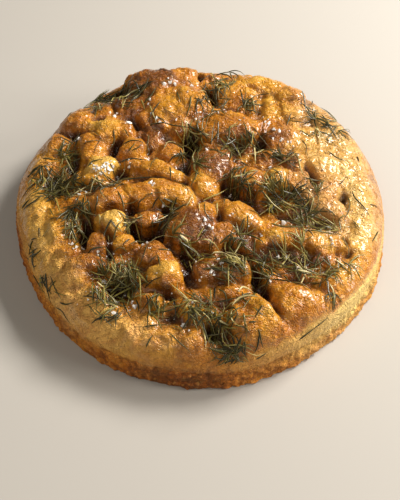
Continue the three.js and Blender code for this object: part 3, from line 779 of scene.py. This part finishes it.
def stem(points, width):
    line = np.asarray(points)
    n = len(line)
    d = np.gradient(line, axis=0)
    d /= np.linalg.norm(d, axis=1)[:, None] + 1e-12
    side = np.cross(d, [0.13, 0.07, 1.0])
    side /= np.linalg.norm(side, axis=1)[:, None]
    up = np.cross(side, d)
    start = sum(len(v) for v in stem_v)
    k = 8
    for i in range(n):
        r = width / 2 * (1.1 - 0.45 * i / n) * (1 + 0.12 * math.sin(i * 2.4))
        stem_v.append(np.array([line[i] + side[i] * r * math.cos(j * math.tau / k) + up[i] * r * math.sin(j * math.tau / k) for j in range(k)]))
    for i in range(n - 1):
        for j in range(k):
            p0, p1 = start + i * k + j, start + i * k + (j + 1) % k
            stem_f.append((p0, p1, p1 + k))
            stem_f.append((p0, p1 + k, p0 + k))
    stem_v.append(np.array([line[0], line[-1]]))
    a0, a1 = start + n * k, start + n * k + 1
    for j in range(k):
        stem_f.append((a0, start + (j + 1) % k, start + j))
        stem_f.append((a1, start + (n - 1) * k + j, start + (n - 1) * k + (j + 1) % k))


# Single leaves, by where they show in the 400 x 500 frame: their points, how far they stand off the crust, their tone
SINGLES = [
    # back left
    ([(112, 90), (119, 92), (136, 90)], 1.5, .25), ([(97, 98), (107, 94), (120, 92)], 1.0, .3), ([(83, 105), (92, 101), (107, 102)], 1.0, .45),
    ([(112, 102), (124, 101), (131, 95)], 2.0, .85), ([(119, 105), (124, 95)], 2.0, .8), ([(68, 117), (73, 111), (81, 107)], .3, .1),
    ([(95, 108), (96, 117)], .5, .1), ([(100, 104), (103, 113)], .5, .15), ([(141, 101), (145, 111)], .6, .8),
    ([(143, 130), (160, 128), (176, 130), (204, 130)], .8, .15), ([(188, 142), (204, 133)], 2.5, .85), ([(194, 133), (197, 145)], 1.5, .75),
    ([(164, 150), (169, 145), (176, 144)], 1.5, .9), ([(176, 144), (182, 152), (185, 164)], 1.5, .75), ([(180, 145), (191, 150), (194, 156)], 1.0, .5),
    ([(119, 164), (131, 161), (146, 161)], .5, .15), ([(129, 152), (135, 144)], .4, .3), ([(88, 167), (93, 162), (103, 160)], .4, .2),
    ([(100, 191), (110, 186), (122, 183)], .5, .15), ([(122, 181), (141, 179), (158, 179), (172, 180)], .5, .12), ([(172, 180), (185, 190), (194, 197)], .5, .3),
    ([(193, 175), (204, 174)], .4, .3), ([(187, 81), (194, 85)], .8, .9), ([(160, 84), (166, 82), (172, 84)], .5, .1),
    ([(55, 150), (64, 156)], .8, .85), ([(68, 161), (77, 152)], .8, .85), ([(61, 157), (69, 160)], .6, .7), ([(70, 152), (78, 158)], .6, .5),
    ([(28, 178), (38, 170), (47, 167)], .4, .15), ([(31, 197), (45, 200), (68, 190), (88, 191)], 1.6, .35), ([(56, 199), (61, 215)], .6, .7),
    ([(21, 210), (31, 199)], .3, .25), ([(49, 208), (55, 219)], .3, .3), ([(66, 190), (72, 202)], .8, .6),
    # back right
    ([(256, 96), (270, 94)], .3, .15), ([(268, 107), (276, 103)], .3, .5), ([(217, 81), (216, 92)], .8, .6), ([(221, 80), (222, 89)], .8, .8),
    ([(250, 106), (250, 115)], .6, .2), ([(253, 103), (256, 118)], .6, .3), ([(247, 100), (249, 111)], .5, .45),
    ([(312, 103), (311, 110)], 2.0, .1), ([(303, 106), (311, 113), (320, 115)], 1.0, .2), ([(311, 113), (317, 122), (324, 126)], 1.2, .15),
    ([(317, 122), (330, 130)], 1.0, .3), ([(331, 128), (343, 128)], .8, .15), ([(336, 130), (334, 138)], 1.5, .1), ([(314, 130), (324, 140)], 2.0, .98),
    ([(324, 140), (336, 145)], 1.0, .3), ([(304, 137), (315, 134)], .6, .25), ([(302, 141), (306, 147), (306, 155)], .4, .1),
    ([(309, 119), (326, 122)], .8, .4), ([(300, 131), (313, 139)], .5, .5), ([(318, 117), (328, 122), (335, 124)], 1.0, .2),
    ([(328, 152), (337, 159), (347, 162)], .4, .2), ([(357, 157), (359, 163)], .3, .1),
    ([(219, 152), (231, 151)], .5, .4), ([(231, 140), (232, 148)], .6, .7), ([(220, 139), (227, 148)], .8, .85), ([(236, 147), (242, 161)], .7, .7),
    ([(238, 158), (245, 148)], .8, .65), ([(248, 146), (256, 136)], .8, .5), ([(254, 147), (255, 166)], 1.5, .9), ([(257, 151), (268, 153)], .6, .45),
    ([(262, 169), (272, 171), (286, 171)], .3, .1), ([(272, 156), (287, 158), (300, 159)], .8, .4), ([(275, 153), (290, 161)], .8, .3),
    ([(226, 189), (229, 179), (237, 169), (242, 168)], 1.4, .3), ([(203, 202), (217, 197), (230, 189)], 1.4, .75), ([(236, 193), (245, 192), (254, 196)], 1.6, .4),
    ([(262, 183), (261, 190), (265, 198)], 2.0, .9), ([(298, 159), (301, 172), (305, 179)], 1.0, .95), ([(303, 179), (314, 182), (323, 182)], .8, .25),
    ([(352, 192), (354, 199), (360, 207), (370, 218)], .4, .15), ([(345, 198), (349, 207), (346, 218), (340, 223)], .5, .3), ([(335, 207), (342, 197)], -.5, .1),
    ([(303, 209), (312, 199)], 1.0, .85), ([(312, 197), (313, 215)], 1.0, .6), ([(369, 205), (379, 208)], .3, .1), ([(278, 192), (298, 198)], 2.4, .2),
    ([(217, 204), (217, 216)], .8, .85), ([(199, 204), (200, 213)], .6, .85), ([(264, 195), (274, 208), (289, 219)], 2.0, .8), ([(268, 190), (279, 199)], 2.5, .6),
    ([(262, 194), (270, 204)], 2.4, .9), ([(272, 200), (284, 214)], 1.6, .95), ([(279, 205), (290, 216)], 1.6, .7), ([(266, 201), (273, 216)], 1.2, .4),
    ([(285, 202), (300, 205)], 1.8, .15), ([(238, 198), (256, 201)], 1.2, .1), ([(300, 196), (312, 204), (318, 212)], .8, .5), ([(326, 209), (336, 218)], .6, .4),
    # left and front left
    ([(72, 213), (73, 244)], 1.4, .8), ([(75, 217), (77, 232)], 1.0, .6), ([(69, 215), (68, 230)], .8, .5), ([(78, 212), (75, 226)], 1.0, .7), ([(56, 216), (69, 214)], .6, .6),
    ([(28, 244), (32, 252), (39, 262)], .5, .25), ([(31, 240), (37, 239)], .3, .1), ([(28, 254), (28, 265)], .3, .1), ([(39, 228), (39, 239)], .3, .1),
    ([(41, 239), (51, 226)], .3, .15), ([(36, 215), (40, 218)], .3, .1), ([(33, 273), (38, 266)], .3, .3), ([(33, 279), (39, 287), (45, 294)], .4, .2),
    ([(43, 288), (46, 279)], .8, .35), ([(45, 293), (49, 285)], .5, .2), ([(49, 287), (54, 279)], .5, .2), ([(49, 300), (51, 289), (53, 283)], .4, .25),
    ([(54, 292), (63, 296), (69, 296)], .1, .5), ([(60, 303), (66, 305), (74, 303)], .1, .3), ([(56, 308), (62, 314), (67, 321), (71, 325)], .4, .15),
    ([(86, 297), (97, 296), (105, 300), (110, 306)], .7, .5), ([(104, 283), (104, 295), (107, 303)], 1.0, .8), ([(91, 279), (103, 283), (111, 288)], 1.0, .6),
    ([(109, 288), (119, 280)], 1.6, .85), ([(120, 255), (126, 273)], 1.0, .8), ([(112, 276), (119, 258)], 1.4, .8), ([(118, 279), (137, 275)], .8, .2),
    ([(137, 269), (140, 285), (141, 309)], 2.2, .75), ([(134, 269), (146, 283), (153, 286)], 1.6, .85), ([(148, 268), (160, 254)], .5, .1),
    ([(170, 238), (185, 256), (191, 262)], 1.2, .55), ([(189, 262), (193, 278)], 1.8, .9), ([(197, 239), (204, 228)], .8, .7), ([(191, 262), (199, 246)], 1.0, .65),
    ([(145, 239), (158, 233), (169, 227)], 1.8, .55), ([(145, 248), (158, 240), (169, 241), (184, 246)], 1.4, .15), ([(133, 227), (119, 233)], 1.0, .3),
    ([(124, 233), (135, 224)], 1.0, .45), ([(108, 234), (109, 244)], .8, .9), ([(159, 300), (158, 327)], .8, .75), ([(143, 328), (158, 326), (173, 326)], .6, .2),
    ([(173, 326), (180, 330), (184, 338)], .5, .35), ([(169, 333), (180, 345), (191, 354)], .4, .25), ([(146, 348), (153, 335)], .4, .35),
    ([(183, 302), (204, 304)], 1.4, .95), ([(186, 307), (203, 313)], 1.2, .9), ([(181, 319), (194, 311)], 1.2, .85), ([(175, 302), (190, 296)], .8, .6),
    ([(168, 304), (178, 300)], .8, .8), ([(177, 313), (179, 320)], .6, .7), ([(100, 319), (119, 318)], .8, .15), ([(88, 305), (96, 315), (104, 318)], .6, .2),
    ([(199, 322), (204, 333), (206, 350)], .6, .85), ([(216, 318), (224, 328)], .8, .5), ([(128, 290), (138, 293)], 1.0, .5), ([(122, 268), (130, 280)], 1.2, .9),
    ([(96, 283), (104, 290), (112, 287)], 1.4, .9), ([(118, 290), (108, 300)], 1.0, .5), ([(128, 262), (121, 270)], 1.0, .4),
    # front right
    ([(241, 234), (255, 240), (265, 248)], 1.0, .3), ([(265, 248), (280, 252), (297, 254)], 1.0, .15), ([(224, 253), (242, 265)], 2.0, .9),
    ([(227, 252), (246, 261)], 2.6, .95), ([(226, 258), (245, 271)], 1.8, .7), ([(231, 263), (250, 271)], 2.0, .85), ([(236, 268), (249, 276)], 1.4, .4),
    ([(207, 265), (220, 272), (235, 283)], .6, .4), ([(240, 240), (244, 252)], 1.2, .6), ([(239, 240), (236, 253)], 1.2, .5), ([(240, 239), (249, 248)], 1.2, .35),
    ([(232, 226), (240, 235)], 1.0, .7), ([(239, 239), (239, 256)], 1.0, .3), ([(237, 226), (240, 238)], 1.0, .45),
    ([(302, 231), (304, 242), (300, 252), (298, 263)], .9, .8), ([(307, 252), (305, 263)], .8, .7), ([(313, 251), (327, 250), (340, 252)], .7, .12),
    ([(343, 237), (342, 246), (348, 253), (347, 260)], .6, .4), ([(250, 272), (263, 276), (272, 280)], 1.6, .2), ([(272, 280), (284, 282), (294, 285)], 1.6, .12),
    ([(265, 263), (282, 268)], 1.2, .5), ([(254, 262), (268, 268), (280, 274)], 1.2, .6), ([(304, 271), (323, 272)], 1.0, .55), ([(307, 277), (321, 280)], .8, .7),
    ([(311, 285), (323, 283)], .8, .3), ([(323, 283), (334, 275), (348, 268)], 1.4, .25), ([(336, 261), (346, 268)], .6, .85), ([(327, 279), (327, 294), (329, 317)], 1.2, .3),
    ([(332, 293), (342, 301)], .4, .12), ([(329, 302), (338, 308)], .4, .15), ([(299, 347), (307, 339), (315, 333)], .5, .2), ([(313, 335), (320, 330), (328, 318)], .5, .25),
    ([(232, 307), (238, 300), (248, 297), (260, 299)], 1.6, .95), ([(252, 308), (262, 316), (267, 317)], .8, .3), ([(245, 321), (247, 332), (245, 352)], 1.0, .45),
    ([(232, 309), (231, 319), (237, 326), (243, 327)], .8, .8), ([(249, 323), (257, 322)], .4, .2), ([(221, 347), (235, 352), (247, 359)], 1.0, .2),
    ([(220, 361), (232, 352), (239, 349)], 1.2, .2), ([(224, 364), (240, 359)], .8, .12), ([(245, 352), (257, 359), (266, 354)], .9, .85),
    ([(241, 357), (250, 366)], .5, .6), ([(256, 360), (266, 354)], .5, .2), ([(217, 353), (233, 360)], .8, .3), ([(213, 338), (222, 346)], .6, .4), ([(222, 334), (228, 343)], .6, .3),
    ([(307, 225), (329, 222)], 1.2, .9), ([(311, 232), (335, 236)], 1.2, .5), ([(318, 222), (338, 233)], 1.2, .8), ([(338, 222), (346, 217)], .5, .6),
    ([(313, 215), (320, 223)], 1.0, .7), ([(262, 258), (279, 262)], 1.0, .3), ([(284, 268), (300, 270)], 1.2, .6), ([(296, 259), (303, 270)], 1.0, .8),
    # the right and back rims
    ([(378, 232), (372, 243)], .3, .3), ([(353, 222), (361, 231)], .3, .4), ([(286, 122), (296, 117)], .3, .3), ([(237, 81), (228, 88)], .5, .5),
]

# Tangles of leaves: centre, half sizes, turn, number, mean direction and its spread in degrees, depth of the tangle in
# millimetres, tone
TANGLES = [
    (116, 100, 22, 6, -12, 57, -20, 24, 3.0, .30),
    (140, 92, 9, 4, -15, 12, -15, 20, 1.5, .2),
    (66, 156, 13, 9, 0, 29, 40, 60, 2.0, .50),
    (56, 184, 21, 15, 0, 96, 60, 55, 4.0, .28),
    (74, 192, 26, 5, -10, 30, -8, 14, 2.5, .35),
    (73, 225, 8, 16, 0, 32, 88, 16, 2.5, .50),
    (113, 182, 12, 6, -15, 13, -20, 18, 1.0, .15),
    (88, 210, 8, 8, 0, 13, 70, 30, 1.0, .4),
    (196, 147, 14, 16, 10, 39, 60, 38, 3.0, .52),
    (185, 160, 9, 9, 0, 16, 45, 40, 2.0, .45),
    (212, 105, 13, 11, 0, 39, 50, 50, 3.0, .40),
    (219, 88, 8, 7, 0, 16, 85, 22, 2.0, .5),
    (250, 110, 7, 9, 0, 16, 80, 22, 1.5, .3),
    (321, 128, 20, 10, 38, 39, 35, 26, 2.5, .32),
    (228, 147, 12, 8, 0, 23, 30, 45, 2.0, .45),
    (256, 149, 10, 7, 0, 18, 60, 45, 2.0, .45),
    (284, 158, 16, 5, 6, 23, 8, 16, 2.0, .30),
    (238, 178, 12, 8, -45, 13, -50, 20, 1.5, .3),
    (244, 194, 14, 6, -10, 20, -12, 22, 2.0, .30),
    (274, 203, 17, 12, 35, 57, 48, 26, 3.5, .55),
    (292, 199, 16, 6, 8, 30, 12, 18, 3.0, .22),
    (308, 205, 8, 10, 0, 16, 100, 25, 1.5, .5),
    (300, 224, 14, 5, 3, 16, 8, 22, 1.5, .5),
    (320, 230, 16, 6, 8, 23, 14, 18, 2.0, .60),
    (152, 238, 20, 6, -5, 27, -14, 22, 2.5, .30),
    (130, 228, 8, 7, 0, 12, -30, 30, 1.5, .4),
    (168, 213, 6, 8, 0, 13, 60, 40, 1.5, .35),
    (188, 252, 9, 12, 0, 19, 62, 28, 2.0, .50),
    (237, 246, 8, 11, 0, 23, 80, 38, 2.5, .42),
    (236, 263, 13, 7, 32, 32, 33, 14, 3.0, .62),
    (222, 272, 14, 6, 30, 11, 30, 18, 1.2, .35),
    (120, 279, 15, 12, 0, 62, 60, 55, 4.0, .50),
    (110, 300, 14, 9, 20, 32, 30, 38, 2.5, .42),
    (110, 317, 10, 3, 0, 9, -5, 12, 1.0, .18),
    (128, 292, 10, 8, 0, 16, 80, 40, 2.0, .4),
    (160, 312, 12, 12, 0, 16, 85, 40, 2.0, .50),
    (196, 308, 15, 8, 12, 26, 14, 26, 2.5, .62),
    (212, 318, 16, 9, 25, 31, 50, 30, 3.0, .58),
    (219, 333, 10, 9, 0, 19, 60, 30, 2.0, .35),
    (236, 351, 20, 6, -6, 26, -8, 34, 1.6, .28),
    (224, 350, 8, 6, 0, 11, 40, 30, 2.0, .3),
    (241, 318, 8, 12, 0, 11, 80, 24, 1.5, .5),
    (247, 297, 8, 4, -10, 6, -15, 18, 1.0, .7),
    (262, 266, 12, 5, 20, 16, 22, 14, 2.0, .45),
    (290, 263, 16, 6, 8, 23, 10, 20, 2.0, .50),
    (280, 278, 18, 4, 12, 16, 14, 10, 2.0, .22),
    (308, 270, 12, 6, 0, 16, 8, 26, 2.0, .50),
    (316, 283, 10, 5, -5, 11, -5, 22, 1.5, .35),
    (301, 249, 5, 12, 0, 8, 85, 14, 1.0, .7),
    (330, 290, 5, 12, 0, 8, 85, 12, 1.2, .35),
    (340, 266, 8, 5, -20, 8, -15, 30, 1.0, .6),
    (42, 288, 10, 7, 20, 9, 60, 30, .6, .25),
    (34, 256, 6, 10, 0, 6, 65, 25, .3, .2),
]


def seen(pts):
    """Points of the frame as points in space, at heights running evenly between those of the two ends."""
    a, b = spot(*pts[0])[2], spot(*pts[-1])[2]
    step = np.hypot(*np.diff(np.array(pts, float), axis=0).T)
    out = []
    for (u, v), t in zip(pts, np.concatenate([[0], np.cumsum(step)]) / step.sum()):
        d = sight(u, v)
        out.append(EYE + d * (a + (b - a) * t - EYE[2]) / d[2])
    return out


for pts, lift, tone in SINGLES:
    lay_leaf(seen(pts), lift, tone=float(np.clip(tone + rng.normal(0, 0.05), 0, 1)), stiff=1.0)


def on_table(degrees):
    """A direction in the frame as a direction on the table."""
    gx, gy = math.cos(math.radians(degrees)) / 1.35, -math.sin(math.radians(degrees)) / 1.08
    return np.array([gx, gy]) / math.hypot(gx, gy)


def shade_of(tone):
    """Most leaves are dark, and some show their pale side: more of them where the tangle is light."""
    pale_leaf = rng.rand() < 0.05 + 0.26 * tone
    return float(np.clip(rng.normal(0.84, 0.12) if pale_leaf else rng.normal(0.10 + 0.36 * tone, 0.12), 0, 1))


for cx, cy, rx, ry, turn, count, direction, spread, depth, tone in TANGLES:
    c, s = math.cos(math.radians(turn)), math.sin(math.radians(turn))
    made = 0
    while made < count:
        r, t = math.sqrt(rng.rand()), rng.rand() * math.tau
        r *= rng.uniform(0.6, 1.75)
        a, b = rx * r * math.cos(t), ry * r * math.sin(t)
        middle = spot(cx + a * c - b * s, cy + a * s + b * c)[:2]
        low = 0.7 * depth * (made / count) ** 1.2
        if rng.rand() < 0.08:                 # a tuft: leaves that spread from one point of a stem
            way = direction + rng.normal(0, spread) + 180 * (rng.rand() < 0.5)
            n = rng.randint(4, 8)
            shade = tone + rng.normal(0, 0.12)
            for k in range(n):
                d = on_table(way + (k / (n - 1) - 0.5) * rng.uniform(70, 130))
                length = rng.uniform(0.009, 0.017)
                side = np.array([-d[1], d[0]]) * rng.normal(0, 0.12) * length
                lay_leaf([middle, middle + d * length / 2 + side, middle + d * length],
                         (low + rng.uniform(0, 0.5), low + rng.uniform(0.2, 3.0)), tone=float(np.clip(shade + rng.normal(0, 0.1), 0, 1)))
            made += n
            continue
        d = on_table(direction + rng.normal(0, spread * 1.5 + 12) if rng.rand() < 0.7 else rng.uniform(0, 180))
        length = float(np.clip(rng.normal(14.0, 4.0), 6, 22)) / 1000
        side = np.array([-d[1], d[0]])
        hook = rng.normal(0, 0.07) * length * (rng.rand() < 0.4)
        ends = [middle - d * length / 2, middle + side * rng.normal(0, 0.06) * length, middle + d * length / 2 + side * hook]
        lay_leaf(ends, (low + rng.uniform(-0.1, 0.6), low + rng.uniform(-0.1, 0.6) + (rng.rand() < 0.12) * rng.uniform(0.8, 3.0)),
                 tone=shade_of(tone))
        made += 1

# leaves strewn singly: more to the left and the front, few on the right
for _ in range(250):
    u, v = rng.uniform(30, 365), rng.uniform(75, 360)
    if ((u - 202) / 146) ** 2 + ((v - 206) / 118) ** 2 > 1 or rng.rand() < smoothstep(u, 250, 340) * 0.75:
        continue
    d = on_table(rng.choice([rng.normal(25, 35), rng.normal(80, 30), rng.normal(-30, 25)]))
    middle, length = spot(u, v)[:2], rng.uniform(0.008, 0.019)
    side = np.array([-d[1], d[0]]) * rng.normal(0, 0.07) * length
    lay_leaf([middle - d * length / 2, middle + side, middle + d * length / 2], rng.uniform(0, 0.8),
             tone=shade_of(0.35))

# the sprig that arches over the back edge
def hung(points):
    """Points of the frame with their heights in millimetres, as points in space."""
    out = []
    for u, v, up in points:
        d = sight(u, v)
        out.append(EYE + d * (up / 1000 - EYE[2]) / d[2])
    return np.array(out)


stem(spline(hung([(199, 80.5, 44), (208, 77, 47), (217, 75, 49), (223, 73, 50.5), (229, 72, 51.5)]), 22), 0.0011)
SPRIG = [
    ([(229, 72, 51.5), (235, 73.5, 51.5), (240, 77.5, 50.5), (243.5, 82, 49.5)], .25),
    ([(230, 72.5, 51.5), (231.2, 76, 51), (232.5, 80, 50)], .30),
    ([(228, 72, 51.5), (234, 70.5, 52.5), (240, 71.5, 52.5), (245, 75.5, 51.5)], .30),
    ([(221, 74, 50), (227, 75, 50.5), (232, 78.5, 50)], .35),
    ([(214, 76, 48.5), (220, 73.5, 51), (226, 72.5, 52)], .20),
    ([(209, 77.5, 47.5), (214, 79.5, 48), (218, 83, 48)], .30),
    ([(205, 78.5, 46), (211, 75.5, 48.5), (216, 74.2, 49.5)], .25),
]
for points, tone in SPRIG:
    leaf(spline(hung(points), 9), 0.0012, 0.0007, rng.normal(0, 0.4), tone)

rosemary = mesh_object("rosemary_leaves", np.concatenate(leaf_v), leaf_f, rosemary_material())
attribute(rosemary, "tone", leaf_tone)
attribute(rosemary, "under", leaf_under)
stems = mesh_object("rosemary_stems", np.concatenate(stem_v), stem_f, stem_material())
for ob in (rosemary, stems):
    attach(ob, "root")

# ============================================================================
# Salt
# ============================================================================
SALT = [(117, 114, 5.0), (115, 117, 3.0), (79, 139, 3.6), (129, 123, 3.4), (164, 84, 4.0), (175, 84, 4.6), (170, 82, 3.0), (192, 86, 3.0), (152, 113, 3.0),
        (157, 118, 3.2), (160, 122, 3.0), (150, 100, 2.6), (148, 104, 2.4), (98, 168, 2.6), (104, 166, 3.0), (109, 170, 2.8), (113, 167, 2.6), (101, 174, 2.4),
        (129, 167, 3.0), (150, 183, 3.6), (154, 184, 2.6), (164, 205, 3.6), (172, 209, 3.2), (80, 195, 3.4), (86, 192, 2.8), (109, 254, 3.6), (83, 249, 3.0),
        (104, 281, 4.2), (108, 284, 3.0), (118, 302, 3.6), (134, 307, 5.0), (132, 303, 3.0), (114, 313, 3.4), (184, 325, 2.8), (265, 122, 2.6), (268, 124, 2.4),
        (274, 129, 3.8), (279, 131, 3.4), (270, 168, 3.2), (273, 138, 1.8), (282, 139, 1.8), (288, 142, 2.0), (293, 146, 1.8), (284, 223, 5.2), (288, 222, 3.6),
        (296, 220, 3.6), (299, 226, 3.4), (205, 220, 3.2), (212, 228, 3.0), (209, 226, 2.4), (307, 231, 2.6), (278, 257, 2.6), (287, 257, 2.8), (270, 281, 2.4),
        (214, 275, 2.6), (211, 272, 2.4), (221, 263, 3.0), (218, 260, 2.6), (192, 302, 2.4), (279, 154, 2.2), (298, 155, 2.4), (125, 296, 2.2), (112, 244, 2.4),
        (196, 262, 2.0), (143, 245, 2.6), (147, 243, 2.2), (230, 196, 2.4), (88, 300, 1.8), (200, 280, 2.0), (67, 158, 2.4), (64, 154, 2.4), (118, 179, 2.0),
        (108, 87, 1.6), (224, 110, 2.0), (240, 120, 1.8), (312, 216, 2.2), (332, 240, 2.0), (262, 236, 1.8), (309, 223, 2.6), (72, 244, 2.6), (76, 248, 2.6),
        (126, 262, 2.4), (98, 252, 2.0), (176, 120, 1.8), (207, 150, 1.8), (196, 119, 2.0), (200, 112, 2.2), (210, 191, 1.8), (233, 214, 1.6)]
salt_v, salt_f = [], []


def flake(centre, normal, size, thick):
    """One broken salt crystal: a block with knocked-off corners."""
    tilt = Vector(normal).to_track_quat("Z", "Y").to_matrix()
    turn = Matrix.Rotation(rng.rand() * math.tau, 3, "Z") @ Matrix.Rotation(rng.normal(0, 0.35), 3, "X")
    rot = np.array(tilt @ turn)
    k = rng.randint(4, 6)
    angles = np.sort(rng.rand(k) * 0.6 + np.arange(k)) / k * math.tau
    radii = size / 2 * rng.uniform(0.45, 1.30, k)
    rings = []
    for level, shrink in ((-0.5, 0.86), (-0.25, 1.0), (0.30, 0.93), (0.5, 0.70)):
        ring = np.stack([np.cos(angles) * radii * shrink, np.sin(angles) * radii * shrink,
                         np.full(k, level * thick) + rng.normal(0, thick * 0.10, k)], 1)
        rings.append(ring)
    pts = np.concatenate(rings + [[[0, 0, -0.52 * thick], [0, 0, 0.52 * thick]]])
    start = sum(len(v) for v in salt_v)
    salt_v.append(pts @ rot.T + np.asarray(centre))
    for i in range(3):
        for j in range(k):
            p0, p1 = start + i * k + j, start + i * k + (j + 1) % k
            salt_f.append((p0, p1, p1 + k))
            salt_f.append((p0, p1 + k, p0 + k))
    a0, a1 = start + 4 * k, start + 4 * k + 1
    for j in range(k):
        salt_f.append((a0, start + (j + 1) % k, start + j))
        salt_f.append((a1, start + 3 * k + j, start + 3 * k + (j + 1) % k))


def salt_at(u, v, size):
    d = sight(u, v)
    hit, normal, _, _ = TREE.ray_cast(Vector(EYE), Vector(d))
    if hit is None or hit.z < 0.02:
        return
    size = min(size * 1.15, 4.2)
    thick = size * rng.uniform(0.20, 0.42)
    flake(np.array(hit) + np.array(normal) * thick * 0.0003, normal, size / 1000, thick / 1000)


for u, v, size in SALT:
    salt_at(u, v, size)
    for _ in range(rng.poisson(1.2)):
        salt_at(u + rng.normal(0, 3.2), v + rng.normal(0, 3.2), rng.uniform(0.8, 2.0))
for _ in range(34):                      # a dusting on the pale cap at the left
    salt_at(rng.normal(104, 5.5), rng.normal(168, 3.6), rng.uniform(0.8, 2.2))
for _ in range(120):
    u, v = rng.uniform(40, 360), rng.uniform(80, 345)
    if ((u - 198) / 150) ** 2 + ((v - 215) / 120) ** 2 < 1:
        salt_at(u, v, rng.uniform(0.5, 1.5))
salt = mesh_object("salt_flakes", np.concatenate(salt_v), salt_f, salt_material(), smooth=False)
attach(salt, "root")

# ============================================================================
# Floor, light
# ============================================================================
floor_mat = Nodes("floor")
floor_mat.finish(Base_Color=(0.48, 0.455, 0.42, 1), Roughness=0.85)
floor = mesh_object("floor", [(-30, -30, 0), (30, -30, 0), (30, 30, 0), (-30, 30, 0)], [(0, 1, 2, 3)], floor_mat.material, smooth=False)


def softbox(azimuth, elevation, distance, size, power, colour):
    data = bpy.data.lights.new("softbox", "AREA")
    data.shape, data.size, data.size_y, data.energy, data.color = "RECTANGLE", size[0], size[1], power, colour
    ob = bpy.data.objects.new("softbox", data)
    bpy.context.scene.collection.objects.link(ob)
    a, e = math.radians(azimuth), math.radians(elevation)
    ob.location = (distance * math.cos(e) * math.cos(a), distance * math.cos(e) * math.sin(a), distance * math.sin(e))
    ob.rotation_euler = (-ob.location).to_track_quat("-Z", "Y").to_euler()
    return ob


softbox(34, 43, 1.5, (0.55, 0.42), 34, (1.0, 0.955, 0.885))      # key, from the right and behind
softbox(-6, 31, 1.5, (0.45, 0.60), 11, (1.0, 0.945, 0.86))       # second key, from the right
softbox(-125, 52, 1.8, (1.4, 1.4), 8.2, (1.0, 0.94, 0.84))       # fill, front left
WORLD, EXPOSURE = 0.135, 0.0

world = bpy.data.worlds.new("studio")
bpy.context.scene.world = world
world.use_nodes = True
world.node_tree.nodes["Background"].inputs[0].default_value = (1.0, 0.92, 0.79, 1)
world.node_tree.nodes["Background"].inputs[1].default_value = WORLD
bpy.context.scene.view_settings.view_transform = "Standard"
bpy.context.scene.view_settings.exposure = EXPOSURE
